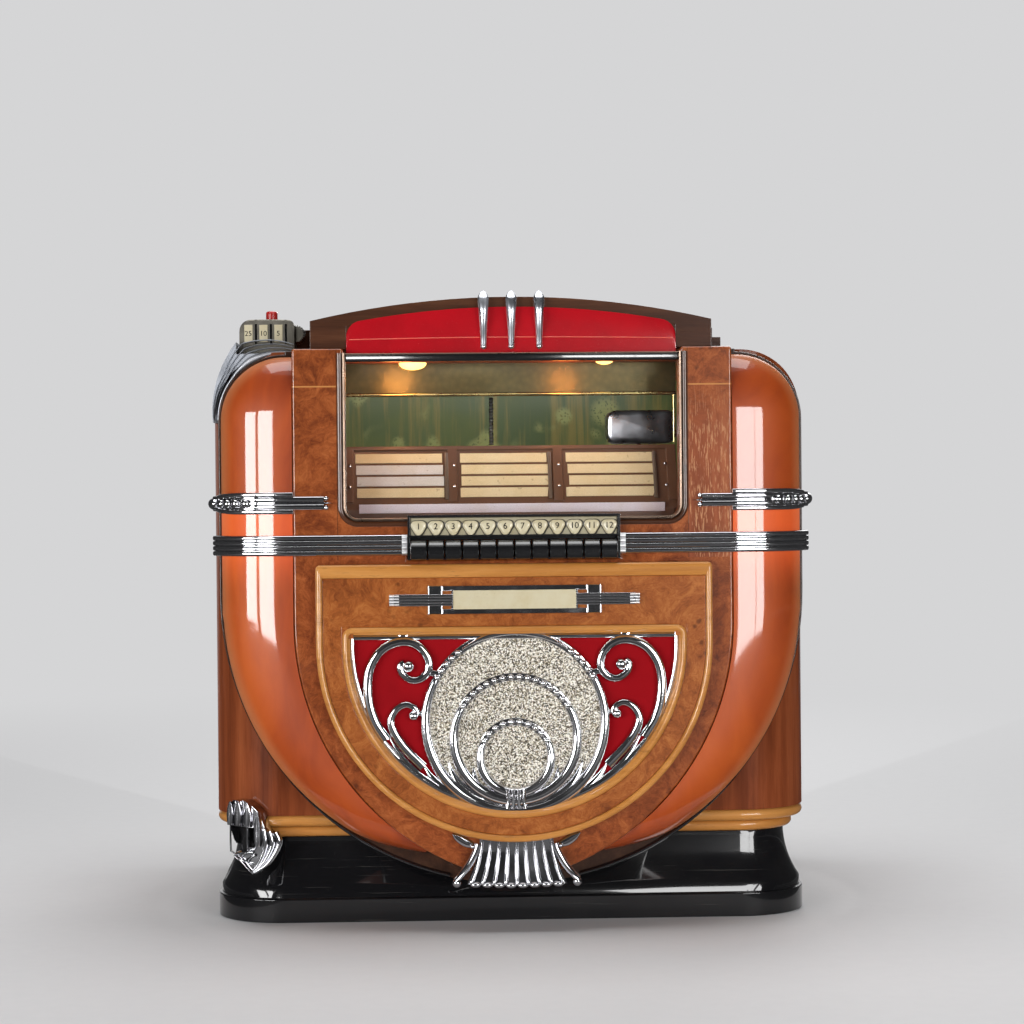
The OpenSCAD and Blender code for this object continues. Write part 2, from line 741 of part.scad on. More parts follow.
module coin_head() color("#5f5c50") difference() {
    block([coin_x - coin_w / 2, coin_y0, deck_z], [coin_x + coin_w / 2, coin_y0 + coin_d, coin_z1]);
    for (i = [0 : 2]) let (x = coin_x + (i - 1) * coin_step)
        block([x - 1.2, coin_y0 - 1, coin_slot_z - 9], [x + 1.2, coin_y0 + 22, coin_slot_z + 9]);
    translate([button_x, button_y, coin_z1 - 12]) cylinder(d = button_d + 2 * run_gap, h = 20);
    coin_way(deck_z - 1, coin_z1 - 4);
}

module coin_casting() color("#5f646e") difference() {
    n = 7;
    y0 = case_y + 2;
    pitch = 12;
    union() for (i = [0 : n - 1]) {
        slab(y0 + i * pitch, y0 + i * pitch + 8) saddle_round(0);
        slab(y0 + i * pitch + 8, y0 + (i + 1) * pitch) saddle_round(2.5);
    }
    slab(case_y - 1, back_y) case_face(0);
    block([-shoulder_x, case_y - 1, 0], [big, back_y, big]);
    block([coin_x - coin_w / 2 - 0.2, case_y - 1, deck_z], [big, back_y, big]);
    block([-big, case_y - 1, 0], [big, back_y, shoulder_z]);
    coin_way(0, big);
}

button_z0 = coin_z1 - 12 + button_travel + run_gap;

module coin_return_button() color("#c01818") translate([button_x, button_y, button_z0]) {
    cylinder(d = button_d, h = 14);
    translate([0, 0, 14]) cylinder(d1 = button_d, d2 = button_d - 3, h = 1.5);
}

cup_x = -hw + 38;
cup_hw = 26;
cup_cz = plinth_h + 2;

module coin_return_cup() color("#cfd2d5") difference() {
    union() {
        slab(case_y - 14, case_y + 50) shield_cup();
        for (i = [0 : 4]) translate([cup_x - 20 + i * 9.6, case_y - 12, cup_cz + 9])
            cylinder(r = 5.4, h = 25 - 0.75 * i * i);
        for (i = [0 : 2]) translate([cup_x + 13 + i * 6, case_y - 10 + 3 * i, cup_cz - 18 + 5 * i])
            cylinder(r = 5, h = 24 - 3 * i);
    }
    tier(0, deck_z) case_plan(0, 1);
    block([cup_x - 21, case_y - 20, cup_cz - 15], [cup_x - 6, case_y + 8, cup_cz + 9]);
    block([cup_x - 4, case_y - 20, cup_cz - 15], [cup_x + 3, case_y + 8, cup_cz + 9]);
}

// Outline of the coin cup in front view
module shield_cup() {
    translate([cup_x - cup_hw, cup_cz]) square([2 * cup_hw, 30]);
    intersection() {
        translate([cup_x - 10, cup_cz]) circle(r = cup_hw + 10);
        translate([cup_x + 10, cup_cz]) circle(r = cup_hw + 10);
        translate([cup_x - cup_hw - 1, 0]) square([2 * cup_hw + 2, cup_cz]);
    }
}

box_z1 = floor_z + 90;

module coin_chute() color("#8c8c88") difference() {
    z1 = shoulder_z + 34;
    block([coin_x - 10, chute_y - 5, box_z1], [coin_x + 10, chute_y + 5, z1]);
    coin_way(0, big);
}

module cash_box() color("#4a4d52") difference() {
    a = [coin_x - 10, chute_y - 6, floor_z];
    b = [coin_x + 66, chute_y + 84, box_z1];
    block(a, b);
    block(a + [2, 2, 2], b - [2, 2, 2]);
    coin_way(floor_z + 10, big);
}

// Arched outline of the lid in front view, from z0 up, drawn in by dx and lowered by dz
module arch_face(dx, dz, z0) intersection() {
    translate([dx - lid_hw, z0]) square([2 * (lid_hw - dx), crown_z]);
    translate([0, crown_z - dz - arch_r]) circle(arch_r, $fn = 400);
}

lid_rail_y = coin_y0 + coin_d + 2;

module lid_frame() color("#4a2c1a") {
    difference() {
        slab(lid_y0, lid_y1) arch_face(0, 0, lid_z);
        slab(lid_y0 + 14, lid_y1 - lid_t) arch_face(lid_t, lid_t, lid_z - 1);
        slab(lid_y0 - 1, lid_y0 + 15) arch_face(lid_hw - win_hw, 12, lid_z - 1);
    }
    both() block([lid_hw, lid_rail_y, lid_z], [lid_hw + 21, lid_y1, lid_z + 15]);
    both() block([lid_hw, lid_rail_y, lid_z + 15], [lid_hw + 13, lid_y1, lid_z + 24]);
    for (s = [-1, 1]) let (x = s * hinge_x)
        lid_knuckle(x - knuckle_w / 2, x + knuckle_w / 2, lid_y1, lid_z + 2);
}

module lid_red_panel() color("#b90f1e") slab(lid_y0 + 2, lid_y0 + 6)
    arch_face(lid_hw - win_hw + run_gap, 12 + run_gap, win_z1 + 7 + run_gap);

module lid_fins() color("#dcdfe2") for (x = [-25, 0, 25]) translate([x, lid_y0, 0]) {
    z0 = win_z1 + 10;
    z1 = crown_z + fin_over;
    skin([for (i = [0 : 10]) let (
        t = i / 10,
        w = 2 + 3.5 * sin(100 * t) * (t < 0.85 ? 1 : 1 - 0.8 * (t - 0.85) / 0.15),
        d = 5 + 9 * sin(110 * t) * (t < 0.7 ? 1 : 1 - 0.8 * (t - 0.7) / 0.3)) [
        [-w, 0, z0 + (z1 - z0) * t], [-0.7 * w, -0.6 * d, z0 + (z1 - z0) * t], [0, -d, z0 + (z1 - z0) * t],
        [0.7 * w, -0.6 * d, z0 + (z1 - z0) * t], [w, 0, z0 + (z1 - z0) * t]]]);
}

door_pin_x = -door_hw + 6;
door_pin_y = back_y - 5.5;
door_hinge_z = [door_z0 + 50, door_z1 - 50];

// One knuckle of the back door's hinge, with its leaf running to x
module door_knuckle(z0, z1, x) difference() {
    union() {
        translate([door_pin_x, door_pin_y, z0]) cylinder(r = pin_d / 2 + 2.5, h = z1 - z0);
        block([min(x, door_pin_x), door_pin_y - 3, z0], [max(x, door_pin_x), door_pin_y + 3, z1]);
    }
    translate([door_pin_x, door_pin_y, z0 - 1]) cylinder(d = pin_d + 2 * shaft_gap, h = z1 - z0 + 2);
}

module hinge_pins() color("#a8a8a4") {
    for (s = [-1, 1]) translate([s * hinge_x - 1.5 * knuckle_w, hinge_y, hinge_z]) rotate([0, 90, 0])
        cylinder(d = pin_d, h = 3 * knuckle_w);
    for (z = door_hinge_z) translate([door_pin_x, door_pin_y, z - 1.5 * knuckle_w])
        cylinder(d = pin_d, h = 3 * knuckle_w);
}

module back_frame() color("#7d5735") {
    difference() {
        intersection() {
            slab(back_y - door_t - 2, back_y) case_face(wall_t);
            block([-hw, 0, floor_z], [hw, back_y, deck_z]);
        }
        block([-door_hw, 0, door_z0], [door_hw, back_y + 1, door_z1]);
    }
    for (z = door_hinge_z) for (k = [-1, 1]) let (c = z + k * (knuckle_w + run_gap))
        door_knuckle(c - knuckle_w / 2, c + knuckle_w / 2, -door_hw - 1);
}

module back_door() color("#835a36") {
    x0 = door_pin_x + 7;
    difference() {
        block([x0, back_y - door_t, door_z0 + 1], [door_hw - 1, back_y, door_z1 - 1]);
        for (i = [0 : 4]) for (s = [-1, 1])
            translate([s * 90, 0, door_z1 - 55 - i * 22])
                block([-60, back_y - door_t - 1, -5], [60, back_y + 1, 5]);
    }
    for (z = door_hinge_z) door_knuckle(z - knuckle_w / 2, z + knuckle_w / 2, x0 + 1);
}

column_d = 16;
bush_h = 26;
spindle_d = 6.8;

module mech_frame() color("#6f7378") {
    difference() {
        union() {
            block([-stack_x - 70, case_y + 42, mech_z - mech_t], [hw - wall_t - 12, back_y - 22, mech_z]);
            for (p = [[coin_x + 80, case_y + 56], [hw - wall_t - 24, case_y + 56],
                      [-stack_x - 60, back_y - 34], [hw - wall_t - 24, back_y - 34]])
                translate([p[0], p[1], floor_z]) cylinder(d = 14, h = mech_z - mech_t - floor_z + 1);
            translate([stack_x, stack_y, mech_z - mech_t - bush_h]) cylinder(d = column_d + 12, h = bush_h + 1);
        }
        translate([stack_x, stack_y, mech_z - mech_t - bush_h - 1])
            cylinder(d = column_d + 2 * shaft_gap, h = bush_h + mech_t + 2);
    }
    translate([0, pivot_y, mech_z - 1]) cylinder(d = post_d, h = top_tray_z + tray_pitch + 4 - mech_z);
    translate([0, pivot_y, mech_z - 1]) cylinder(d = post_d + 8, h = tray_z0 - run_gap - mech_z + 1);
    translate([arm_x, arm_y, mech_z - 1]) cylinder(d = 14, h = arm_z - 7 - run_gap - mech_z + 1);
    translate([arm_x, arm_y, arm_z - 9]) cylinder(d = 6, h = 20);
}

// A record tray: hub on the pivot post, arm and ring
module tray(z) difference() {
    union() {
        translate([-stack_x, stack_y, z]) cylinder(d = record_d - 20, h = tray_t);
        translate([0, pivot_y, z]) cylinder(d = post_d + 10, h = tray_pitch - run_gap);
        translate([0, pivot_y, z]) rotate([0, 0, 225])
            block([0, -8, 0], [stack_x * sqrt(2) - record_d / 2 + 20, 8, tray_t]);
    }
    translate([-stack_x, stack_y, z - 1]) cylinder(d = record_d - 60, h = tray_t + 2);
    translate([0, pivot_y, z - 1]) cylinder(d = post_d + 2 * shaft_gap, h = tray_pitch + 2);
}

// A record on its tray
module disc(z) translate([-stack_x, stack_y, z + tray_t + 0.1]) difference() {
    cylinder(d = record_d, h = record_t);
    translate([0, 0, -1]) cylinder(d = 7.3, h = record_t + 2);
}

module record_stack() color("#141414") for (i = [0 : tray_n - 2]) {
    tray(tray_z0 + i * tray_pitch);
    disc(tray_z0 + i * tray_pitch);
}

module swing_tray() color("#8f9296") {
    tray(top_tray_z);
    disc(top_tray_z);
}

plate_t = 7;
column_z1 = mech_z + 1.5;

module elevator() color("#a2a5a8") translate([stack_x, stack_y, 0]) {
    translate([0, 0, floor_z + 8]) cylinder(d = column_d, h = column_z1 - floor_z - 8);
    translate([0, 0, column_z1 - 1]) cylinder(d = spindle_d, h = plate_t + 7);
}

module turntable() color("#3a3632") translate([stack_x, stack_y, column_z1 + run_gap]) difference() {
    union() {
        cylinder(d = turntable_d, h = plate_t - 2);
        translate([0, 0, plate_t - 2]) cylinder(d = turntable_d - 8, h = 2);
    }
    translate([0, 0, -1]) cylinder(d = spindle_d + 2 * shaft_gap, h = plate_t + 2);
}

arm_len = 226;
arm_turn = 247.5;

module tone_arm() color("#d4d6d8") translate([arm_x, arm_y, arm_z]) {
    difference() {
        translate([0, 0, -7]) cylinder(d = 24, h = 14);
        translate([0, 0, -8]) cylinder(d = 6 + 2 * shaft_gap, h = 16);
    }
    rotate([0, 0, arm_turn]) {
        translate([11, 0, 0]) rotate([0, 90, 0]) cylinder(d = 8, h = arm_len - 16);
        translate([arm_len, 0, 0]) rotate([0, 0, -arm_turn]) translate([-30, 0, 0]) rotate([0, 90, 0])
            cylinder(d = 21, h = 60);
        translate([arm_len, 0, record_z + record_t + 3 - arm_z])
            cylinder(d1 = 1, d2 = 5, h = arm_z - record_z - record_t - 8);
    }
}

module speaker() color("#33363a") translate([0, case_y, floor_z + speaker_r + 1.5]) rotate([-90, 0, 0]) {
    difference() {
        union() {
            cylinder(r = speaker_r, h = 3);
            cylinder(r1 = speaker_r - 8, r2 = 34, h = 44);
        }
        translate([0, 0, -1]) cylinder(r1 = speaker_r - 11, r2 = 24, h = 42);
    }
    translate([0, 0, 43]) cylinder(r = 31, h = 27);
}

module amplifier() color("#585c60") {
    a = [-stack_x - 40, back_y - 160, floor_z];
    block(a, a + [150, 110, 46]);
    translate(a + [8, 60, 45]) block([0, 0, 0], [46, 42, 44]);
    for (i = [0 : 3]) translate(a + [76 + (i % 2) * 40, 30 + floor(i / 2) * 46, 45]) {
        cylinder(d = 30, h = 12);
        cylinder(d = 24, h = 52);
        translate([0, 0, 52]) sphere(d = 24);
    }
}

module backdrop_lamps() color("#5a7d46") {
    translate([0, back_y - door_t, 0])
        block([-door_hw - 20, -6, door_z1 - 95], [door_hw + 20, -2, deck_z - wall_t - 3]);
    translate([-flange_x, case_y + wall_t / 2, deck_z - 45]) rotate([0, 90, 0]) cylinder(d = 5, h = 2 * flange_x);
    block([-flange_x + 14, case_y + 27, deck_z - 43], [flange_x - 14, case_y + 28, deck_z - wall_t]);
    for (s = [-1, 1]) translate([s * 95, case_y + 15, deck_z - wall_t - 12]) {
        cylinder(d = 18, h = 12);
        sphere(r = 11);
    }
}

base_plinth();
base_moulding();
cabinet_floor();
side_panel_left();
side_panel_right();
top_deck();
shield_board();
burl_front();
pilaster_left();
pilaster_right();
grille_panel();
grille_edging();
grille_casting();
grille_cloth();
glitter_disc();
foot_casting();
nameplate_frame();
nameplate_insert();
chrome_bands();
chrome_bumpers();
window_trim();
window_glass();
title_panel();
card_strips();
key_housing();
number_badges();
key_shaft();
for (i = [1 : key_n]) selector_key(i);
coin_head();
coin_casting();
coin_return_button();
coin_return_cup();
coin_chute();
cash_box();
lid_frame();
lid_red_panel();
lid_fins();
hinge_pins();
back_frame();
back_door();
mech_frame();
record_stack();
swing_tray();
elevator();
turntable();
tone_arm();
speaker();
amplifier();
backdrop_lamps();
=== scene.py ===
# %% [markdown]
# # A countertop jukebox, dressed for its picture
# The model of the construction gives every solid at its real size. This lesson gives those solids their
# finishes, and makes smooth surfaces for the pieces whose look depends on a moulded or cast form.
# Everything is in metres: X to the right, Y to the back and Z up from the middle of the plinth's underside.

# %% Load the frame
from math import cos, pi, radians, sin, sqrt

import bmesh
import bpy
import numpy as np
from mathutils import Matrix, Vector


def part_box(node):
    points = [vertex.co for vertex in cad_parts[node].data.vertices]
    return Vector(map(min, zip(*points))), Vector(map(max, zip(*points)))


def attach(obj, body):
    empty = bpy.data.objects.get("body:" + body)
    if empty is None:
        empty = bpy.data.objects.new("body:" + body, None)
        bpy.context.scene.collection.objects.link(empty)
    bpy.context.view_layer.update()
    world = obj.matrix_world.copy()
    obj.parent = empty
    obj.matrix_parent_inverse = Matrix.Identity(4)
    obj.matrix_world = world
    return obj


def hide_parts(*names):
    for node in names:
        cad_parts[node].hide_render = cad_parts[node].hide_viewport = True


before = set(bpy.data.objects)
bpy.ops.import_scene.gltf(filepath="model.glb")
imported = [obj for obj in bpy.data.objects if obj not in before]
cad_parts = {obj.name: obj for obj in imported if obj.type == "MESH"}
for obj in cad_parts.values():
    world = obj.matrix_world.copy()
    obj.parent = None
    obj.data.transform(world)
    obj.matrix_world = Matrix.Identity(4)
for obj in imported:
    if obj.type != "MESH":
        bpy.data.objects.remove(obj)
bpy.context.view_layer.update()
scene = bpy.context.scene
scene.view_settings.view_transform = "Standard"

# %% [markdown]
# ## Camera
# The picture was taken from a little left of the middle, almost level with the window, from two and a half
# metres away. A long lens from that place gives the same flat perspective.

# %% Place the camera
CAMERA_AT = (-0.0865, -2.470, 0.401)
CAMERA_TURN = (radians(89.395), radians(0.5), radians(-2.16))
lens = bpy.data.cameras.new("camera")
lens.lens = 88.6
lens.sensor_width = 36
camera = bpy.data.objects.new("camera", lens)
camera.location = CAMERA_AT
camera.rotation_euler = CAMERA_TURN
scene.collection.objects.link(camera)
scene.camera = camera
print("camera at", CAMERA_AT)

# %% [markdown]
# ## Writing shader maths as plain expressions
# A material is a graph of nodes, which is slow to read when it is built call by call. Here a small class
# wraps one socket, so that `1 - mask` or `grain * 0.4 + 0.2` adds the Math nodes by itself, and one method
# makes every other node from its type, its settings and its sockets.


# %% Sockets with operators, and a finish that builds its nodes
class Wire:
    """One output socket of a finish, on which plain arithmetic adds Math nodes."""

    def __init__(self, finish, socket):
        self.finish, self.socket = finish, socket

    def _math(self, operation, *values):
        sockets = dict(enumerate(values))
        return self.finish.node("Math", {"operation": operation}, sockets)

    def __add__(self, other):
        return self._math("ADD", self, other)

    __radd__ = __add__

    def __mul__(self, other):
        return self._math("MULTIPLY", self, other)

    __rmul__ = __mul__

    def __sub__(self, other):
        return self._math("SUBTRACT", self, other)

    def __rsub__(self, other):
        return self._math("SUBTRACT", other, self)

    def __pow__(self, other):
        return self._math("POWER", self, other)

    def __lt__(self, other):
        return self._math("LESS_THAN", self, other)

    def __gt__(self, other):
        return self._math("GREATER_THAN", self, other)

    def __abs__(self):
        return self._math("ABSOLUTE", self)

    def step(self, low, high):
        """0 below low, 1 above high and a soft S between them."""
        sockets = {0: self, 1: low, 2: high}
        return self.finish.node("MapRange", {"interpolation_type": "SMOOTHSTEP"}, sockets)

    def least(self, other):
        return self._math("MINIMUM", self, other)

    def most(self, other):
        return self._math("MAXIMUM", self, other)

    def wave(self):
        return self._math("SINE", self)


class Finish:
    """A material with one Principled shader, and short ways to the nodes that these finishes use."""

    def __init__(self, name, **constants):
        self.material = bpy.data.materials.new(name)
        self.material.use_nodes = True
        self.tree = self.material.node_tree
        self.shader = self.tree.nodes["Principled BSDF"]
        self.set(**constants)

    def set(self, **sockets):
        """Set or link sockets of the shader: base_color is its Base Color."""
        for key, value in sockets.items():
            self._feed(self.shader.inputs[key.replace("_", " ").title().replace("Ior", "IOR")], value)
        return self

    def _feed(self, socket, value):
        if isinstance(value, Wire):
            self.tree.links.new(value.socket, socket)
        elif socket.type == "RGBA":
            socket.default_value = (*value[:3], 1)
        else:
            socket.default_value = value

    def node(self, kind, settings=None, sockets=None, out=0):
        node = self.tree.nodes.new("ShaderNode" + kind)
        for key, value in (settings or {}).items():
            if key == "stops":
                ramp = node.color_ramp.elements
                while len(ramp) < len(value):
                    ramp.new(1)
                for element, (position, colour) in zip(ramp, value):
                    element.position = position
                    element.color = (*colour, 1)
            else:
                setattr(node, key, value)
        for key, value in (sockets or {}).items():
            self._feed(node.inputs[key], value)
        return Wire(self, node.outputs[out])

    def place(self):
        return self.node("TexCoord", out="Object")

    def axes(self):
        split = self.node("SeparateXYZ", sockets={0: self.place()})
        return [Wire(self, output) for output in split.socket.node.outputs]

    def stretch(self, scale, vector=None):
        sockets = {"Vector": vector or self.place(), "Scale": scale}
        return self.node("Mapping", sockets=sockets)

    def noise(self, scale, detail=4, rough=0.55, bend=0.0, vector=None):
        sockets = {"Vector": vector or self.place(), "Scale": scale, "Detail": detail}
        sockets.update({"Roughness": rough, "Distortion": bend})
        return self.node("TexNoise", sockets=sockets)

    def cells(self, scale, vector=None, feature="F1", out="Distance"):
        sockets = {"Vector": vector or self.place(), "Scale": scale}
        return self.node("TexVoronoi", {"feature": feature}, sockets, out)

    def ramp(self, value, *stops):
        return self.node("ValToRGB", {"stops": stops}, {0: value})

    def mix(self, share, first, second):
        sockets = {0: share, 6: first, 7: second}
        return self.node("Mix", {"data_type": "RGBA"}, sockets, 2)

    def warp(self, scale, amount, vector=None):
        """The place, pushed about by a noise of that scale."""
        start = vector or self.place()
        sockets = {"Vector": start, "Scale": scale, "Detail": 3}
        push = self.node("TexNoise", sockets=sockets, out="Color")
        middle = self.node("VectorMath", {"operation": "SUBTRACT"}, {0: push, 1: (0.5, 0.5, 0.5)})
        sockets = {0: middle, 1: (amount,) * 3, 2: start}
        return self.node("VectorMath", {"operation": "MULTIPLY_ADD"}, sockets)

    def bump(self, height, depth, strength=1.0):
        sockets = {"Height": height, "Distance": depth, "Strength": strength}
        return self.node("Bump", sockets=sockets)


def rgb(red, green, blue):
    """A colour as it is read off a screen, from 0 to 255, made linear for the shader."""
    levels = np.array([red, green, blue]) / 255
    return tuple(np.where(levels < 0.04045, levels / 12.92, ((levels + 0.055) / 1.055) ** 2.4))


print("half grey in linear light:", np.round(rgb(128, 128, 128), 3))

# %% [markdown]
# ## Woods
# The cabinet mixes four woods. Plain walnut has straight grain with fine dark pores, so its pattern is a
# noise that is stretched along the board. Burl grows in all directions, so there the place itself is pushed
# about by a noise before the pattern is read. All of them lie under a clear lacquer, which is the coat.


# %% Straight-grained wood
def grained_wood(name, dark, middle, light, along=(60, 60, 3.2), gloss=0.3, coat=0.6, sheen=0.12):
    """Streaks are a noise stretched along the board, and pores a finer one cut to thin dark lines."""
    finish = Finish(name, coat_weight=coat, coat_roughness=0.07, specular_ior_level=sheen)
    board = finish.warp(5, 0.012)
    streaks = finish.noise(1.0, 5, 0.6, 0.4, finish.stretch(along, vector=board))
    fine = finish.noise(1.0, 3, 0.7, 0.0, finish.stretch([9 * k for k in along], vector=board))
    pores = fine.step(0.60, 0.72)
    colour = finish.ramp(streaks * 0.75 + fine * 0.25, (0.28, dark), (0.5, middle), (0.72, light))
    colour = finish.mix(pores * 0.45, colour, [0.45 * k for k in dark])
    finish.set(base_color=colour, roughness=gloss + 0.15 * pores + 0.06 * streaks)
    return finish.set(normal=finish.bump(pores * -1.0, 0.00012, 0.6)).material


walnut = grained_wood("walnut", rgb(88, 40, 21), rgb(132, 66, 36), rgb(160, 88, 52), coat=0.12, sheen=0.03)
dark_wood = grained_wood("dark_wood", rgb(36, 20, 12), rgb(60, 35, 21), rgb(84, 52, 32), (60, 3.2, 60))
lid_wood = grained_wood("lid_wood", rgb(48, 26, 15), rgb(78, 45, 27), rgb(104, 64, 40), (3.2, 50, 60))
light_wood = grained_wood("light_wood", rgb(168, 106, 46), rgb(196, 132, 64), rgb(216, 154, 84),
                          (5, 5, 60), 0.34)
plywood = grained_wood("plywood", rgb(92, 62, 38), rgb(128, 90, 56), rgb(152, 112, 74), (40, 40, 2.4), 0.55)
print("straight woods:", walnut.name, dark_wood.name, lid_wood.name, light_wood.name, plywood.name)


# %% Burl veneer
STILE_IN = 0.158
PANEL_TOP = 0.335
INLAY_Z = 0.491
INLAY_HALF = 0.0007


def burl_veneer(name, dark, middle, light, inlay=False):
    """Clouds of figure from warped noise, clusters of small dark eyes, and straight grain on one stile."""
    finish = Finish(name, coat_weight=0.6, coat_roughness=0.06, specular_ior_level=0.12)
    x, y, z = finish.axes()
    swirl = finish.warp(26, 0.035, finish.warp(9, 0.05))
    figure = finish.noise(44, 7, 0.66, 0.9, swirl)
    curl = finish.noise(210, 5, 0.68, 1.8, swirl)
    eyes = 1 - finish.cells(105, finish.warp(120, 0.006)).step(0.10, 0.34)
    clusters = finish.noise(17, 2, 0.5).step(0.53, 0.68)
    colour = finish.ramp(figure * 0.6 + curl * 0.4, (0.36, dark), (0.5, middle), (0.64, light))
    colour = finish.mix(eyes * clusters * 0.65, colour, [0.4 * k for k in dark])
    if inlay:
        grain = finish.noise(1.0, 4, 0.6, 0.3, finish.stretch((75, 75, 4), vector=finish.warp(5, 0.01)))
        stops = (0.3, rgb(112, 54, 28)), (0.55, rgb(148, 76, 44)), (0.75, rgb(170, 98, 60))
        straight = finish.ramp(grain, *stops)
        flecks = finish.noise(1.0, 3, 0.6, 0.2, finish.stretch((760, 760, 90))).step(0.53, 0.62)
        straight = finish.mix(flecks * 0.7, straight, rgb(214, 158, 112))
        stile = (x > STILE_IN) * (z > PANEL_TOP) * (1 - z.step(0.44, 0.50))
        colour = finish.mix(stile * 0.8, colour, straight)
        line = (abs(z - INLAY_Z) < INLAY_HALF) * (abs(x) > STILE_IN)
        colour = finish.mix(line * 0.8, colour, rgb(205, 140, 78))
        joint = abs(abs(x) - STILE_IN) < INLAY_HALF * 0.6
        colour = finish.mix(joint * (z > PANEL_TOP) * 0.55, colour, rgb(52, 28, 14))
    finish.set(base_color=colour, roughness=0.26 + 0.14 * figure)
    return finish.set(normal=finish.bump(figure, 0.0003, 0.25)).material


front_burl = burl_veneer("front_burl", rgb(98, 43, 16), rgb(142, 70, 29), rgb(174, 96, 46), True)
panel_burl = burl_veneer("panel_burl", rgb(116, 57, 22), rgb(157, 86, 36), rgb(184, 112, 53))
print("burl veneers:", front_burl.name, panel_burl.name)

# %% [markdown]
# ## Plastics
# The pilasters were cast from marbled plastic. A marble is layers that were stirred, so the place is warped
# strongly and read with long vertical streaks. Light enters the plastic a little way, which a small
# subsurface weight gives, and the polish is a clear coat.


# %% Cast and moulded plastics
PAINTED_LAMP_GLOW = (0.34, 0.042, 0.013)
DOME_X, DOME_Z, BOARD_CZ = 0.206, 0.461, 0.303


def marbled_plastic(name):
    """Slow vertical clouds of oranges, with a painted glow of lamplight on the stretch between bumper and
    band.
    """
    finish = Finish(name, coat_roughness=0.06, roughness=0.5, specular_ior_level=0.2)
    finish.set(subsurface_weight=0.06, subsurface_radius=(0.012, 0.004, 0.002), subsurface_scale=0.5)
    x, y, z = finish.axes()
    stirred = finish.warp(4, 0.09, finish.stretch((1, 1, 0.35)))
    cloud = finish.noise(7, 4, 0.5, 1.2, stirred)
    vein = finish.noise(22, 5, 0.55, 2.0, stirred)
    # painted light: the stretch between bumper and band is made lighter and given its own emission, a glow
    # with no lamp behind it
    glow = z.step(0.30, 0.355) * (1 - z.step(0.384, 0.388))
    dome = z.step(0.455, 0.50)
    below, above = (BOARD_CZ - z).most(0.0), (z - DOME_Z).most(0.0)
    out = (((x ** 2 + below ** 2) ** 0.5 - DOME_X) ** 2 + above ** 2) ** 0.5
    rim = out.step(0.046, 0.059)
    # painted shade: the colour is darkened near the inner edge and towards the bottom, where the casting lies
    # in shade; the dome is also made darker
    inner_edge = (1 - abs(x).step(0.199, 0.224)) * z.step(0.28, 0.36)
    deep = inner_edge * 0.08 + dome * 0.16 + below.step(0.05, 0.20) * 0.03
    level = cloud * 0.7 + vein * 0.3 + glow * 0.10 - deep
    stops = [(0.28, rgb(134, 48, 8)), (0.46, rgb(170, 69, 12))]
    stops += [(0.60, rgb(186, 80, 16)), (0.76, rgb(205, 96, 26))]
    colour = finish.mix(rim * 0.75, finish.ramp(level, *stops), rgb(200, 124, 76))
    finish.set(base_color=colour, coat_weight=1 - rim * 0.8, emission_strength=1.0)
    return finish.set(emission_color=finish.mix(glow, (0, 0, 0), PAINTED_LAMP_GLOW)).material


def moulded_plastic(name, colour, gloss=0.2, grain=0.05, coat=0.6):
    """One colour with slow changes of depth, fine dust in the polish and a faint moulded skin."""
    finish = Finish(name, coat_weight=coat, coat_roughness=0.05)
    slow = finish.noise(30, 3)
    dust = finish.noise(900, 2, 0.7)
    share = slow.step(0.35, 0.7) * 0.5
    finish.set(base_color=finish.mix(share, colour, [0.72 * k for k in colour]))
    finish.set(roughness=gloss + grain * slow + 0.12 * dust.step(0.62, 0.75))
    return finish.set(normal=finish.bump(dust, 0.00004, 0.4)).material


def ivory_plastic(name, colour):
    """Old ivory plastic: yellowed in patches, with specks of grime."""
    finish = Finish(name, coat_weight=0.3, coat_roughness=0.15)
    patches = finish.noise(60, 4).step(0.38, 0.72)
    specks = finish.noise(700, 3, 0.7).step(0.62, 0.72)
    tone = finish.mix(patches * 0.5, colour, [k * s for k, s in zip(colour, (0.86, 0.78, 0.6))])
    finish.set(base_color=finish.mix(specks * 0.35, tone, rgb(98, 82, 52)), roughness=0.34 + 0.2 * specks)
    return finish.material


orange_plastic = marbled_plastic("orange_plastic")
red_plastic = moulded_plastic("red_plastic", rgb(188, 14, 28), 0.16)
button_red = moulded_plastic("button_red", rgb(190, 42, 38), 0.22)
black_plastic = moulded_plastic("black_plastic", rgb(22, 22, 24), 0.14, 0.1, 0.9)
ivory = ivory_plastic("ivory", rgb(208, 198, 166))
print("plastics:", orange_plastic.name, red_plastic.name, black_plastic.name, ivory.name)

# %% [markdown]
# ## Metals
# Chrome has almost no colour of its own: it shows the room. What makes it look used is a slight haze that
# changes from place to place, so roughness carries the pattern. The castings on the shoulder are duller.


# %% Chrome, castings and sheet metals
def worn_metal(name, colour, shine, haze, pits=0.0, pit_colour=(0.02, 0.02, 0.02), bump=0.00005):
    """A bare metal whose haze comes from a slow noise, with darker pits from a fine one."""
    finish = Finish(name, metallic=1.0)
    slow = finish.noise(45, 4, 0.6).step(0.35, 0.75)
    fine = finish.noise(620, 3, 0.65)
    pit = fine.step(0.62, 0.74) * pits
    finish.set(base_color=finish.mix(pit, colour, pit_colour))
    finish.set(roughness=shine + haze * slow + 0.3 * pit)
    return finish.set(normal=finish.bump(fine * -1.0, bump, 0.5)).material


def painted_metal(name, colour, mottle, scale, shine=0.4, metal=0.0):
    """Paint with a hammered or mottled skin: rounded cells raise the surface and change its tone."""
    finish = Finish(name, metallic=metal, coat_weight=0.2, coat_roughness=0.2)
    skin = finish.cells(scale, finish.warp(scale * 1.5, 0.4 / scale), "SMOOTH_F1")
    slow = finish.noise(14, 4).step(0.35, 0.7)
    share = (skin * 0.8).least(1.0) * 0.6 + slow * 0.4
    finish.set(base_color=finish.mix(share, colour, mottle), roughness=shine + 0.12 * slow)
    return finish.set(normal=finish.bump(skin, 0.0002, 0.35)).material


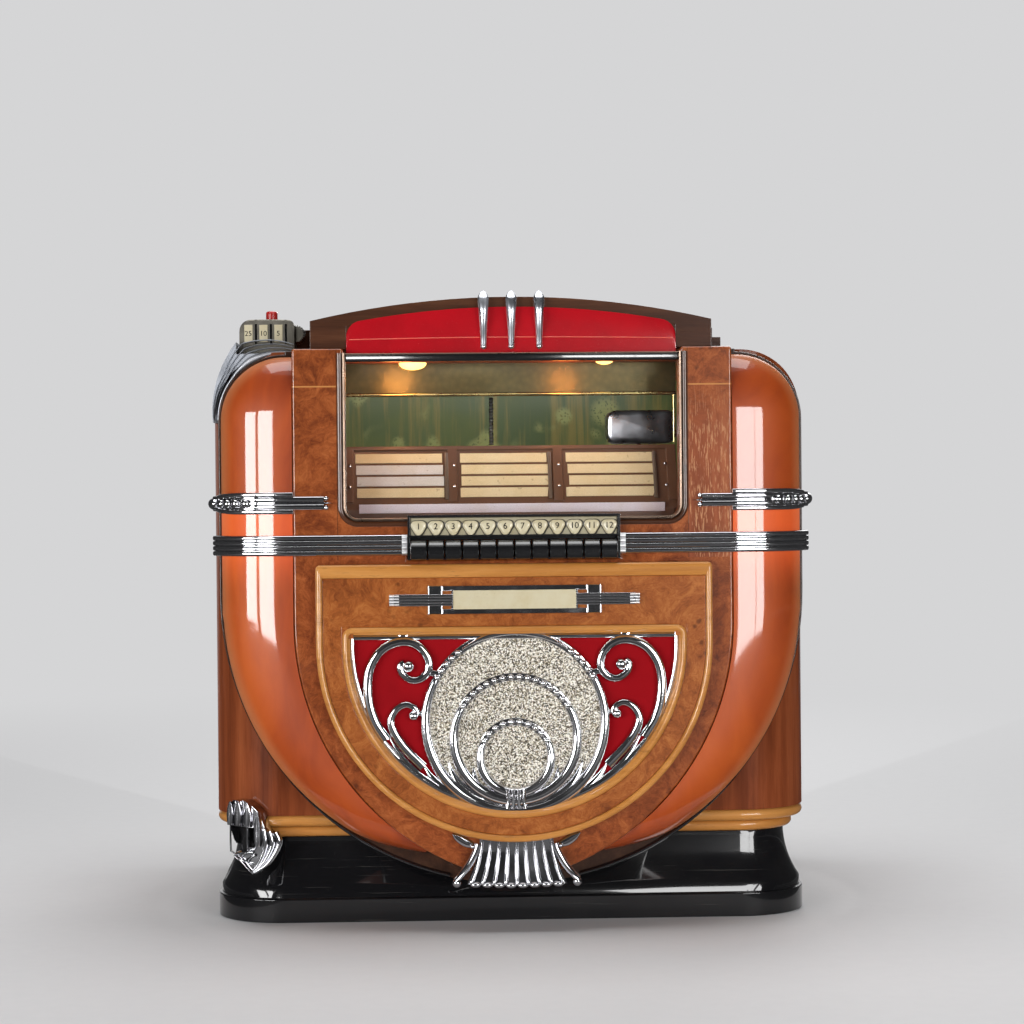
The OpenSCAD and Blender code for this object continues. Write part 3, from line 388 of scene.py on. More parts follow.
def streaked_board(name):
    """Green paint on board: yellowed streaks that ran down, and brighter spots where it crackled."""
    finish = Finish(name, coat_weight=0.2, coat_roughness=0.2)
    x, y, z = finish.axes()
    streaks = finish.noise(1.0, 4, 0.6, 0.3, finish.stretch((90, 90, 5))).step(0.44, 0.66)
    slow = finish.noise(11, 3).step(0.35, 0.7)
    worn = finish.noise(19, 2).step(0.60, 0.70)
    for spot_x, spot_z, size in ((0.114, 0.478, 0.020), (0.070, 0.474, 0.012)):
        worn = worn.most(1 - (((x - spot_x) ** 2 + (z - spot_z) ** 2) ** 0.5).step(size * 0.4, size))
    crackle = finish.cells(330, finish.warp(60, 0.01)).step(0.1, 0.5) * worn
    tone = finish.mix(slow, rgb(86, 108, 44), rgb(114, 126, 52))
    tone = finish.mix(streaks * 0.85, tone, rgb(164, 148, 62))
    finish.set(base_color=finish.mix(crackle * 0.7, tone, rgb(196, 200, 112)), roughness=0.45 + 0.15 * slow)
    return finish.set(normal=finish.bump(crackle + streaks * 0.3, 0.0003, 0.4)).material


chrome = worn_metal("chrome", (0.66, 0.66, 0.68), 0.05, 0.10, 0.12)
nickel_trim = worn_metal("nickel_trim", (0.17, 0.12, 0.09), 0.26, 0.18, 0.35, rgb(60, 40, 24))
fin_chrome = worn_metal("fin_chrome", (0.44, 0.455, 0.49), 0.26, 0.2, 0.2)
cast_chrome = worn_metal("cast_chrome", (0.44, 0.44, 0.46), 0.07, 0.12, 0.2)
satin_chrome = worn_metal("satin_chrome", (0.80, 0.80, 0.81), 0.40, 0.12, 0.05)
steel = worn_metal("steel", (0.52, 0.52, 0.51), 0.24, 0.16, 0.1)
brass = worn_metal("brass", (0.62, 0.52, 0.22), 0.18, 0.2, 0.2, rgb(70, 58, 24))
pewter = worn_metal("pewter", (0.12, 0.112, 0.094), 0.34, 0.2, 0.5)
grey_casting = worn_metal("grey_casting", (0.29, 0.305, 0.335), 0.36, 0.2, 0.3)
# a lighter copy of the casting metal, a painted highlight for the lip
painted_lit_lip_grey = worn_metal("painted_lit_lip_grey", (0.43, 0.44, 0.47), 0.36, 0.16, 0.2)
grey_paint = painted_metal("grey_paint", rgb(108, 112, 116), rgb(82, 86, 92), 260)
brown_panel = painted_metal("brown_panel", rgb(112, 74, 46), rgb(86, 54, 32), 40)
backdrop_green = streaked_board("backdrop_green")
reflector_sheet = painted_metal("reflector_sheet", rgb(102, 90, 54), rgb(54, 54, 34), 210, 0.3, 0.7)
print("metals and paints:", chrome.name, pewter.name, grey_casting.name, backdrop_green.name)


# %% Black lacquer
def black_lacquer(name):
    """Deep gloss black with long fine scratches, a little dust and rubbed patches."""
    finish = Finish(name, coat_weight=0.8, coat_roughness=0.05, specular_ior_level=0.1)
    rubbed = finish.noise(9, 4, 0.6).step(0.45, 0.75)
    scratch = finish.noise(1.0, 3, 0.6, 0.2, finish.stretch((10, 10, 520))).step(0.64, 0.72)
    dust = finish.noise(420, 3, 0.7).step(0.62, 0.74)
    mark = (scratch * 0.3 + dust * 0.12 + rubbed * 0.06).least(1.0)
    finish.set(base_color=finish.mix(mark, (0.006, 0.006, 0.007), (0.10, 0.095, 0.085)))
    return finish.set(roughness=0.16 + 0.3 * mark).material


lacquer = black_lacquer("lacquer")
print("lacquer:", lacquer.name)

# %% [markdown]
# ## Cloth, paper, shellac and glass
# Behind the casting sits red cloth with a disc of metallic weave. The weave is a field of tiny flakes, each
# with its own brightness, which a pattern of random cells gives: painted glints and shade. The glass only has
# to show a faint reflection, so it is a thin see-through mirror and lets the light of the room in.


# %% Grille cloths
def woven_cloth(name, colour, pitch=0.0011):
    """A plain weave: two sine waves at right angles, with a painted highlight on the threads' crowns and
    painted shade between them.
    """
    finish = Finish(name, roughness=0.95, specular_ior_level=0.1)
    x, y, z = finish.axes()
    weave = (x * (2 * pi / pitch)).wave() * (z * (2 * pi / pitch)).wave() * 0.5 + 0.5
    slow = finish.noise(25, 3)
    tone = finish.mix(weave * 0.5, [0.7 * k for k in colour], [min(1, 1.25 * k) for k in colour])
    finish.set(base_color=finish.mix(slow.step(0.4, 0.75) * 0.4, tone, [0.55 * k for k in colour]))
    return finish.set(normal=finish.bump(weave, 0.0003, 0.7)).material


def metallic_weave(name):
    """Flakes of two sizes, each with its own brightness from dark gold to near white: painted glints and
    shade.
    """
    finish = Finish(name, metallic=0.15)
    small = finish.cells(1150, out="Color")
    large = finish.cells(600, out="Color")
    shades = [finish.node("RGBToBW", sockets={0: flakes}) for flakes in (small, large)]
    level = shades[0] * 0.7 + shades[1] * 0.3
    stops = [(0.31, rgb(40, 30, 16)), (0.44, rgb(142, 128, 98))]
    stops += [(0.54, rgb(220, 210, 190)), (0.68, rgb(255, 252, 244))]
    finish.set(base_color=finish.ramp(level, *stops), roughness=0.42)
    return finish.set(normal=finish.bump(level, 0.0006, 0.8)).material


red_cloth = woven_cloth("red_cloth", rgb(166, 10, 22))
glitter_weave = metallic_weave("glitter_weave")
print("cloths:", red_cloth.name, glitter_weave.name)


# %% Paper, shellac, glass and lamp
def aged_card(name, colour):
    """Card that has yellowed at random, with fibres and a few foxed spots."""
    finish = Finish(name, roughness=0.8)
    fibre = finish.noise(1.0, 4, 0.7, 0.3, finish.stretch((420, 420, 900)))
    slow = finish.noise(38, 3).step(0.38, 0.72)
    spots = finish.noise(240, 2, 0.5).step(0.68, 0.74)
    tone = finish.mix(slow * 0.45, colour, [k * s for k, s in zip(colour, (0.86, 0.8, 0.66))])
    tone = finish.mix(fibre.step(0.5, 0.8) * 0.2, tone, rgb(150, 132, 96))
    finish.set(base_color=finish.mix(spots * 0.4, tone, rgb(120, 88, 50)))
    return finish.set(normal=finish.bump(fibre, 0.00008, 0.4)).material


def shellac(name, middle_x, middle_y):
    """Record stock: black gloss with grooves, which are rings about the spindle hole."""
    finish = Finish(name, coat_weight=0.4, coat_roughness=0.12)
    x, y, z = finish.axes()
    radius = ((x - middle_x) ** 2 + (y - middle_y) ** 2) ** 0.5
    groove = (radius * (2 * pi / 0.0016)).wave() * 0.5 + 0.5
    worn = finish.noise(30, 3).step(0.4, 0.8)
    finish.set(base_color=finish.mix(worn * 0.5, (0.010, 0.010, 0.011), (0.028, 0.027, 0.026)))
    finish.set(roughness=0.26 + 0.14 * groove)
    return finish.set(normal=finish.bump(groove, 0.0003, 0.6)).material


def thin_glass(name):
    """A faint mirror over a clear view, with a trace of haze."""
    finish = Finish(name, metallic=1.0, base_color=(0.9, 0.93, 0.9))
    haze = finish.noise(16, 4).step(0.4, 0.8)
    return finish.set(alpha=0.05 + 0.03 * haze, roughness=0.02).material


def lamp_glow(name, colour, power):
    """A frosted bulb: a soft noise in the colour that it gives off."""
    finish = Finish(name, base_color=colour, roughness=0.4)
    frost = finish.noise(160, 2)
    finish.set(emission_color=finish.mix(frost, colour, [0.8 * k for k in colour]))
    return finish.set(emission_strength=power).material


STACK_AT = (-0.1285, 0.0615)
card_cream = aged_card("card_cream", rgb(232, 216, 172))
card_white = aged_card("card_white", rgb(222, 222, 218))
# the lilac card is made paler than its own colour: painted light for the light that reaches it near the glass
card_lilac = aged_card("card_lilac", rgb(240, 233, 240))
record_shellac = shellac("record_shellac", *STACK_AT)
window_pane = thin_glass("window_pane")
bulb_glow = lamp_glow("bulb_glow", rgb(255, 206, 120), 3.0)
print("paper, shellac, glass:", card_cream.name, record_shellac.name, window_pane.name, bulb_glow.name)

# %% [markdown]
# ## Finishes for the carried-over solids
# A solid whose own shape is right only needs its finish. The table pairs each finish with its nodes.

# %% Dress the solids
DRESS = {
    lacquer: ["base_plinth"],
    light_wood: ["base_moulding", "grille_edging"],
    walnut: ["side_panel_left", "side_panel_right", "top_deck"],
    dark_wood: ["shield_board"],
    lid_wood: ["lid_frame"],
    front_burl: ["burl_front"],
    panel_burl: ["grille_panel"],
    plywood: ["cabinet_floor", "back_frame", "back_door"],
    orange_plastic: ["pilaster_left", "pilaster_right"],
    red_plastic: ["lid_red_panel"],
    button_red: ["coin_return_button"],
    black_plastic: ["key_housing"] + [f"selector_key_{i:02d}" for i in range(1, 13)],
    ivory: ["nameplate_insert", "number_badges"],
    chrome: ["grille_casting", "foot_casting", "nameplate_frame", "chrome_bands", "chrome_bumpers",
             "coin_return_cup", "lid_fins", "tone_arm"],
    nickel_trim: ["window_trim"],
    pewter: ["coin_head"],
    grey_casting: ["coin_casting"],
    steel: ["key_shaft", "coin_chute", "hinge_pins", "elevator"],
    grey_paint: ["cash_box", "mech_frame", "turntable", "speaker", "amplifier"],
    brown_panel: ["title_panel"],
    card_cream: ["card_strips"],
    backdrop_green: ["backdrop_lamps"],
    record_shellac: ["record_stack", "swing_tray"],
    red_cloth: ["grille_cloth"],
    glitter_weave: ["glitter_disc"],
    window_pane: ["window_glass"],
}
for finish, names in DRESS.items():
    for name in names:
        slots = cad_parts[name].data.materials
        slots.clear()
        slots.append(finish)
print("dressed nodes:", sum(len(names) for names in DRESS.values()))

# %% [markdown]
# ## Surfaces from whole arrays
# Each smooth piece is one or more grids of points. A grid is worked out as an array, its faces follow from
# the order of its points, and several grids together make one mesh. Closed grids keep the mesh watertight.


# %% A mesh made of grids
class Shape:
    """Collects grids of points and turns them into one mesh object."""

    def __init__(self):
        self.points, self.faces, self.marks, self.count = [], [], [], 0

    def grid(self, points, around=True, ends=True, mark=0):
        """Add rows by columns of points: around closes each row, ends the outer rows, mark is the finish."""
        rows, columns = points.shape[:2]
        index = self.count + np.arange(rows * columns).reshape(rows, columns)
        if around:
            index = np.concatenate([index, index[:, :1]], 1)
        quads = np.stack([index[:-1, :-1], index[:-1, 1:], index[1:, 1:], index[1:, :-1]], -1).reshape(-1, 4)
        self.faces += quads.tolist()
        self.marks += np.broadcast_to(mark, (index.shape[0] - 1, index.shape[1] - 1)).ravel().tolist()
        if ends and around:
            self.faces += [index[0, :-1].tolist(), index[-1, :-1].tolist()]
            self.marks += [int(np.ravel(mark)[0])] * 2
        self.points.append(points.reshape(-1, 3))
        self.count += rows * columns
        return self

    def add(self, points, faces, mark=0):
        """Take over points and faces that were made elsewhere."""
        self.faces += [[self.count + k for k in face] for face in faces]
        self.marks += [mark] * len(faces)
        self.points.append(points)
        self.count += len(points)
        return self

    def build(self, name, body, finishes, slot=None, replaces=(), crease=40):
        """Make the mesh: points that meet are merged, and all faces turn outward."""
        mesh = bpy.data.meshes.new(name)
        mesh.from_pydata(np.concatenate(self.points).tolist(), [], self.faces)
        mesh.polygons.foreach_set("material_index", self.marks)
        merged = bmesh.new()
        merged.from_mesh(mesh)
        bmesh.ops.remove_doubles(merged, verts=merged.verts, dist=1e-6)
        bmesh.ops.recalc_face_normals(merged, faces=merged.faces)
        merged.to_mesh(mesh)
        merged.free()
        return hang(name, mesh, body, finishes, replaces, crease)


def hang(name, mesh, body, finishes, replaces=(), crease=40):
    """Give a mesh its finishes and its body, and let it stand for the nodes that it replaces."""
    mesh.polygons.foreach_set("use_smooth", np.ones(len(mesh.polygons), bool))
    mesh.set_sharp_from_angle(angle=radians(crease))
    for finish in finishes:
        mesh.materials.append(finish)
    piece = bpy.data.objects.new(name, mesh)
    scene.collection.objects.link(piece)
    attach(piece, body)
    if replaces:
        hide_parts(*replaces)
    print(f"{name}: {len(mesh.polygons)} faces on {body}")
    return piece


def softened(node, finish, width, body="cabinet", segments=2, crease=35):
    """A copy of a solid whose sharp edges are rounded by a bevel, as sanded wood and castings have them."""
    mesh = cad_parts[node].data.copy()
    merged = bmesh.new()
    merged.from_mesh(mesh)
    bmesh.ops.remove_doubles(merged, verts=merged.verts, dist=1e-6)
    bmesh.ops.dissolve_limit(merged, angle_limit=radians(0.5), verts=merged.verts, edges=merged.edges)
    merged.to_mesh(mesh)
    merged.free()
    mesh.materials.clear()
    piece = hang(node + "_soft", mesh, body, [finish], replaces=[node], crease=crease)
    bevel = piece.modifiers.new("round edges", "BEVEL")
    bevel.width = width
    bevel.segments = segments
    bevel.limit_method = "ANGLE"
    bevel.angle_limit = radians(crease)
    bevel.harden_normals = True
    return piece


def points_of(mesh):
    """All the points of a mesh as an array."""
    places = np.empty(3 * len(mesh.vertices), np.float32)
    mesh.vertices.foreach_get("co", places)
    return places.reshape(-1, 3).astype(float)


def move_points(mesh, rule):
    """Send all the points of a mesh through a rule that takes and gives an array of places."""
    mesh.vertices.foreach_set("co", rule(points_of(mesh)).astype(np.float32).ravel())
    mesh.update()


def turn_about(angles):
    """Unit vectors at these angles, in a plane."""
    return np.stack([np.cos(angles), np.sin(angles)], -1)


def smooth_path(points, count):
    """A smooth curve through points: each span is a cubic that leans on its four nearest points."""
    p = np.asarray(points, float)
    p = np.concatenate([[2 * p[0] - p[1]], p, [2 * p[-1] - p[-2]]])
    at = np.linspace(0, len(p) - 3, count)
    k = np.minimum(at.astype(int), len(p) - 4)
    t = (at - k)[:, None]
    a, b, c, d = p[k], p[k + 1], p[k + 2], p[k + 3]
    bend = (2 * a - 5 * b + 4 * c - d) * t ** 2 + (3 * b - a - 3 * c + d) * t ** 3
    return 0.5 * (2 * b + (c - a) * t + bend)


def upright(line, y):
    """A front-view line of x and z as points in space, all at one y."""
    return np.stack([line[:, 0], np.full(len(line), y), line[:, 1]], 1)


def to_front(count):
    """The direction to the front, once for each of so many points."""
    return np.tile([0.0, -1.0, 0.0], (count, 1))


def lean(path):
    """Unit directions along a path."""
    step = np.gradient(path, axis=0)
    return step / np.linalg.norm(step, axis=1, keepdims=True)


def front_bar(shape, path, depth, half_width, height, sides=12, mark=0, crown=1.0):
    """A bar along a front-view path, standing on y = depth: half an ellipse, or flatter for a low crown."""
    along = lean(path)
    across = np.stack([-along[:, 1], along[:, 0]], 1)
    angle = np.linspace(0, pi, sides)
    width = np.broadcast_to(half_width, len(path))[:, None] * np.cos(angle)
    rise = np.broadcast_to(height, len(path))[:, None] * np.sin(angle).clip(0) ** crown
    x = path[:, :1] + across[:, :1] * width
    z = path[:, 1:] + across[:, 1:] * width
    return shape.grid(np.stack([x, depth - rise, z], -1), mark=mark)


def ball(shape, centre, radius, rings=10, sides=16, squash=(1, 1, 1), mark=0):
    """A ball from its latitude and longitude, squashed along the axes."""
    tilt = np.linspace(0.02, pi - 0.02, rings)[:, None]
    spin = np.linspace(0, 2 * pi, sides + 1)[None, :-1]
    unit = np.stack([np.sin(tilt) * np.cos(spin), np.sin(tilt) * np.sin(spin), np.cos(tilt) + 0 * spin], -1)
    return shape.grid(np.asarray(centre) + radius * np.asarray(squash) * unit, mark=mark)


def brick(shape, low, high, soft=0.0, mark=0):
    """A box from its two corners, whose front face is drawn in by a chamfer."""
    (x0, y0, z0), (x1, y1, z1) = low, high
    rows = []
    for y, inset in ((y1, 0), (y0 + soft, 0), (y0, soft)):
        a, b, c, d = x0 + inset, x1 - inset, z0 + inset, z1 - inset
        rows.append([(a, y, c), (b, y, c), (b, y, d), (a, y, d)])
    return shape.grid(np.array(rows), mark=mark)


# %% [markdown]
# ## Pilasters
# On the real machine each pilaster is a quarter-round casting that starts as a dome on the shoulder, runs
# straight down and then sweeps inwards to a tip near the foot. A ring of points is carried along that line,
# and its width and depth follow from the case and the pointed front that it fills the room between.

# %% Sizes of the front
HALF_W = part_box("pilaster_right")[1].x
FACE_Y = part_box("burl_front")[0].y
BOARD_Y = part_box("burl_front")[1].y
FRONT_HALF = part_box("burl_front")[1].x
OGIVE_Z, OGIVE_SHIFT = 0.278, 0.040
DOME_R = HALF_W - DOME_X
WALL = 0.003
SEAT = 0.0003
print("front from", round(FACE_Y, 4), "to", round(BOARD_Y, 4), "half width", round(FRONT_HALF, 4))


# %% Pilasters
def pilaster_rows():
    """Inner edge, outer edge and depth of the pilaster's section, from the tip to the dome."""
    turn_down = radians(60) * (1 - np.linspace(0, 1, 70))
    away = np.stack([np.cos(turn_down), -np.sin(turn_down)], 1)
    radius = FRONT_HALF + OGIVE_SHIFT + SEAT
    inner = np.array([-OGIVE_SHIFT, OGIVE_Z]) + radius * away
    start = inner - [0, BOARD_CZ]
    share = turn_down / radians(60)
    reach = HALF_W + 0.0024 * np.sin(pi * share) - 0.006 * share ** 2
    k = (start * away).sum(1)
    width = np.sqrt(k * k - (start * start).sum(1) + reach * reach) - k
    narrow = np.clip((turn_down - radians(44)) / radians(16), 0, 1) ** 2
    outer = inner + away * (width * (1 - 0.55 * narrow))[:, None]
    depth = (BOARD_Y - FACE_Y) * (1 - 0.6 * narrow)
    rise = np.linspace(OGIVE_Z, DOME_Z, 24)[1:]
    plain = np.ones_like(rise)
    dome = np.linspace(0, radians(84), 40)[1:]
    dome_z = DOME_Z + DOME_R * np.sin(dome)
    inner_x = np.concatenate([inner[:, 0], plain * (FRONT_HALF + SEAT), 0 * dome + FRONT_HALF + SEAT])
    inner_z = np.concatenate([inner[:, 1], rise, dome_z])
    outer_x = np.concatenate([outer[:, 0], plain * HALF_W, DOME_X + DOME_R * np.cos(dome)])
    outer_z = np.concatenate([outer[:, 1], rise, dome_z])
    depth = np.concatenate([depth, plain * (BOARD_Y - FACE_Y), (BOARD_Y - FACE_Y) * np.cos(dome) ** 0.8])
    return np.stack([inner_x, inner_z], 1), np.stack([outer_x, outer_z], 1), depth


def pilaster_grid(side):
    """A quarter ellipse from the inner to the outer edge, then back along the inside of the wall."""
    inner, outer, depth = pilaster_rows()
    angle = np.linspace(0, pi / 2, 30)
    span = np.linalg.norm(outer - inner, axis=1)[:, None]
    sine, cosine, depth = np.sin(angle), np.cos(angle), depth[:, None]
    out = np.concatenate([sine + 0 * span, sine[::-1] * (1 - WALL / span)], 1)
    deep = np.concatenate([depth * cosine, (depth - WALL).clip(0) * cosine[::-1]], 1)
    edge = inner[:, None] + (outer - inner)[:, None] * out[..., None]
    return np.stack([side * edge[..., 0], BOARD_Y - deep, edge[..., 1]], -1)


for side, name in ((-1, "pilaster_left"), (1, "pilaster_right")):
    pilaster = Shape().grid(pilaster_grid(side))
    pilaster.build(name + "_cast", "cabinet", [orange_plastic], "orange_plastic", [name], 50)

# %% [markdown]
# ## Grille frame
# The frame round the grille has a light bead outside and a rounder one inside. Both follow the same shield
# outline, drawn in step by step, so a profile of (inset, height) pairs is carried round that outline.


# %% Shield outlines and beads
def shield_outline(half, centre_z, top_z, corner, count=120):
    """Points round a shield: straight top and sides, a half circle below and small round top corners."""
    corner = max(corner, 1e-5)
    below = np.linspace(pi, 2 * pi, count)
    arc = [0, centre_z] + half * turn_about(below)
    right = [half - corner, top_z - corner] + corner * turn_about(np.linspace(0, pi / 2, 8))
    left = [corner - half, top_z - corner] + corner * turn_about(np.linspace(pi / 2, pi, 8))
    return np.concatenate([arc, right, left])


def shield_bead(shape, half, centre_z, top_z, corner, profile, base_y, top_share=1.0):
    """Carry a profile round the shield: each pair is a distance drawn in and a distance forward."""
    rows = []
    for inset, height in profile:
        line = shield_outline(half - inset, centre_z, top_z - inset * top_share, corner - inset)
        rows.append(upright(line, base_y - height))
    loop = np.array(rows + rows[:1])
    return shape.grid(loop, ends=False)


def round_profile(width, foot, height, steps=14):
    """A half round of that width that stands on a foot."""
    angle = np.linspace(0, pi, steps)
    crown = [(width / 2 * (1 - cos(a)), foot + height * sin(a)) for a in angle]
    return [(0, 0)] + crown + [(width, 0)]


PANEL_HALF, PANEL_CZ, PANEL_Z1 = 0.178, 0.259, 0.331
GRILLE_HALF, GRILLE_CZ, GRILLE_Z1 = 0.1475, 0.257, 0.268
EDGING_W, INNER_W = 0.006, 0.007
PANEL_Y = FACE_Y - 0.009
beads = Shape()
outer_profile = round_profile(EDGING_W, 0.0088, 0.0032)
shield_bead(beads, PANEL_HALF, PANEL_CZ, PANEL_Z1, 0.004, outer_profile, FACE_Y, 2.0)
inner_profile = [(0, 0), (0, 0.0095), (0.0008, 0.0108), (0.0022, 0.0118), (0.0036, 0.0118), (0.0048, 0.0108)]
inner_profile += [(0.0052, 0.0092), (0.0058, 0.0088), (0.0066, 0.0084), (0.007, 0.0074), (0.007, 0)]
shield_bead(beads, GRILLE_HALF + INNER_W, GRILLE_CZ, GRILLE_Z1 + INNER_W, 0.009, inner_profile, FACE_Y)
corners = Shape()
for side in (-1, 1):
    low, high = sorted((side * (GRILLE_HALF - 0.003), side * (GRILLE_HALF + INNER_W + 0.0002)))
    brick(corners, (low, PANEL_Y, GRILLE_Z1 - 0.003), (high, FACE_Y, GRILLE_Z1 + INNER_W + 0.0002))
corners.build("grille_corners", "cabinet", [panel_burl], "burl_veneer", (), 40)
beads.build("grille_beads", "cabinet", [light_wood], "light_wood", ["grille_edging"], 50)

# %% [markdown]
# ## Grille casting
# The casting is one piece of chromed metal: three rings one inside the other, beads on their upper arcs,
# two scrolls on each side, blades that fan out from a fluted stem, and a rim round the opening. Every bar
# is half an ellipse carried along a path in front view, and it tapers where the casting does.

# %% Rings and beads
CAST_Y = FACE_Y - 0.0008
FLAT_CROWN = 0.5
RINGS = ((0.1886, 0.0808, 0.0034, 60), (0.1734, 0.0556, 0.0033, 58), (0.1566, 0.0319, 0.0030, 62))
BEAD_PITCH, BEAD_R = 0.0068, 0.0029
PLAIN_TOP = 36
casting = Shape()


def cast_line(path, half, height):
    """One flat-topped bar of the casting along a path."""
    front_bar(casting, path, CAST_Y, half, height, 16, crown=FLAT_CROWN)


for ring_z, ring_r, half, span in RINGS:
    arc = np.linspace(pi / 2 + radians(span), 5 * pi / 2 - radians(span), 130)
    swell = 1 + 0.55 * np.sin(np.linspace(0, pi, 130)) ** 0.5
    cast_line([0, ring_z] + ring_r * turn_about(arc), half * swell, 0.0050 * swell)
    upper = np.linspace(pi / 2 - radians(span + 3), pi / 2 + radians(span + 3), 60)
    front_bar(casting, [0, ring_z] + ring_r * turn_about(upper), CAST_Y, 0.0036, 0.0020, 16, crown=0.3)
    count = int(2 * ring_r * radians(span) / BEAD_PITCH)
    for angle in np.radians(np.linspace(-span, span, count)):
        if ring_r == RINGS[0][1] and abs(angle) < radians(PLAIN_TOP):
            continue
        ball(casting, (ring_r * sin(angle), CAST_Y - 0.0042, ring_z + ring_r * cos(angle)), BEAD_R)
ring_z, ring_r = RINGS[0][:2]
cap = np.linspace(pi / 2 - radians(PLAIN_TOP), pi / 2 + radians(PLAIN_TOP), 50)
cast_line([0, ring_z] + ring_r * turn_about(cap), 0.0036 * np.sin(np.linspace(0.25, pi - 0.25, 50)), 0.0052)
print("rings:", len(RINGS), "faces so far:", len(casting.faces))


# %% Scrolls, blades, stem and rim
def casting_bar(path, half, height, taper=(1.0, 1.0)):
    """A bar on both sides of the middle whose width runs from one share to another."""
    share = np.linspace(taper[0], taper[1], len(path))
    for side in (-1, 1):
        cast_line(path * [side, 1], half * share, height * share ** 0.5)


GRILLE_FOOT = GRILLE_CZ - GRILLE_HALF
UPPER_SCROLL = [(-0.1160, 0.1735), (-0.1265, 0.1905), (-0.1318, 0.211), (-0.1310, 0.234), (-0.1230, 0.2505),
                (-0.1115, 0.2590), (-0.0980, 0.2615), (-0.0865, 0.2575), (-0.0785, 0.2475), (-0.0775, 0.2370),
                (-0.0840, 0.2285), (-0.0930, 0.2270), (-0.1010, 0.2325), (-0.1030, 0.2395), (-0.0995, 0.2430)]
LOWER_SCROLL = [(-0.0830, 0.1490), (-0.0985, 0.1650), (-0.1085, 0.1795), (-0.1118, 0.1905), (-0.1070, 0.2005),
                (-0.0980, 0.2050), (-0.0900, 0.2015), (-0.0878, 0.1965)]
casting_bar(smooth_path(UPPER_SCROLL, 120), 0.0036, 0.0054, (1.4, 0.9))
casting_bar(smooth_path(LOWER_SCROLL, 70), 0.0031, 0.0048, (1.5, 0.85))
for x, z, radius in ((-0.0955, 0.2395, 0.0054), (-0.0915, 0.1950, 0.0046)):
    for side in (-1, 1):
        ball(casting, (side * x, CAST_Y - 0.0030, z), radius)
casting_bar(np.array([(-0.0785, 0.2340), (-0.0730, 0.2330), (-0.0670, 0.2320)]), 0.0032, 0.0040)
casting_bar(np.array([(-0.0880, 0.1965), (-0.0840, 0.1970), (-0.0795, 0.1970)]), 0.0022, 0.0036)
casting_bar(np.array([(-0.1000, 0.2610), (-0.1000, 0.2640), (-0.1000, 0.2674)]), 0.0056, 0.0034)
BLADES = [((-0.1345, 0.1985), (-0.0935, 0.1150), 0.0040), ((-0.1135, 0.1765), (-0.0820, 0.1130), 0.0044),
          ((-0.0830, 0.1515), (-0.0640, 0.1125), 0.0052), ((-0.0605, 0.1530), (-0.0500, 0.1130), 0.0050),
          ((-0.0380, 0.1480), (-0.0370, 0.1140), 0.0046)]
for tip, bow, wide in BLADES:
    root = np.array([-0.004, GRILLE_FOOT + 0.005])
    share = np.linspace(0, 1, 50)[:, None]
    path = (1 - share) ** 2 * root + 2 * share * (1 - share) * np.array(bow) + share ** 2 * np.array(tip)
    body = np.sin(np.linspace(0.35, pi - 0.02, 50)) ** 0.7
    for side in (-1, 1):
        cast_line(path * [side, 1], wide * body, 0.0058 * body)
RIM_R = GRILLE_HALF - 0.0020
rim_arc = [0, GRILLE_CZ] + RIM_R * turn_about(np.linspace(pi, 2 * pi, 130))
rim_swell = 0.0022 + 0.0018 * np.sin(np.linspace(0, pi, 132)) ** 4
cast_line(np.concatenate([[(-RIM_R, GRILLE_Z1)], rim_arc, [(RIM_R, GRILLE_Z1)]]), rim_swell, 0.0046)
head = np.stack([np.linspace(-0.145, 0.145, 60), np.full(60, GRILLE_Z1 - 0.0026)], 1)
cast_line(head, 0.0024, 0.0034)
for k in range(4):
    x = (k - 1.5) * 0.0046
    flute = [(x * 1.15, 0.0015), (x, 0.009), (x * 1.1, 0.0185)]
    cast_line([0, GRILLE_FOOT] + smooth_path(flute, 16), 0.0024, 0.0085)
casting.build("grille_cast", "cabinet", [chrome], "chrome", ["grille_casting"], 45)

# %% [markdown]
# ## Bars that lie on a curved surface
# The chrome trim follows the front and then wraps round the pilasters. Such a bar needs its line in space
# and, at each point, the direction away from the surface. Half an ellipse is then carried along.


# %% Clad bars and the wrapping line
def clad_bar(shape, line, out, half, rise, foot=0.0, sides=12, mark=0):
    """Half an ellipse across a line in space, standing on a foot and pointing away from the surface."""
    along = lean(line)
    across = np.cross(along, out)
    across = across / np.linalg.norm(across, axis=1, keepdims=True)
    angle = np.linspace(0, pi, sides)
    wide = np.concatenate([[1], np.cos(angle), [-1]])
    tall = np.concatenate([[0], np.sin(angle), [0]])
    base = np.concatenate([[0], np.ones(sides), [0]])
    side = np.broadcast_to(half, len(line))[:, None] * wide
    up = np.broadcast_to(rise, len(line))[:, None] * tall + np.broadcast_to(foot, len(line))[:, None] * base
    points = line[:, None] + across[:, None] * side[..., None] + out[:, None] * up[..., None]
    return shape.grid(points, mark=mark)


def wrap_run(side, start, turn_end=80, tail=True):
    """From x = start along the flat front, round a pilaster's quarter ellipse and back over the board."""
    flat = np.linspace(min(start, FRONT_HALF - 0.001), FRONT_HALF - 0.0005, 30)
    angle = np.radians(np.linspace(0, turn_end, 40))
    round_x = FRONT_HALF + (HALF_W - FRONT_HALF) * np.sin(angle)
    round_y = BOARD_Y - (BOARD_Y - FACE_Y) * np.cos(angle)
    line = np.concatenate([np.stack([flat, 0 * flat + FACE_Y], 1), np.stack([round_x, round_y], 1)])
    round_out = np.stack([np.sin(angle), -np.cos(angle)], 1)
    out = np.concatenate([np.stack([0 * flat, 0 * flat - 1], 1), round_out])
    if tail:
        line = np.concatenate([line, [(BOARD_HALF, BOARD_Y - 0.003), (BOARD_HALF, BOARD_Y + 0.023)]])
        out = np.concatenate([out, [(1, 0), (1, 0)]])
    line = np.stack([side * line[:, 0], line[:, 1], 0 * line[:, 0]], 1)
    return line, np.stack([side * out[:, 0], out[:, 1], 0 * out[:, 0]], 1)


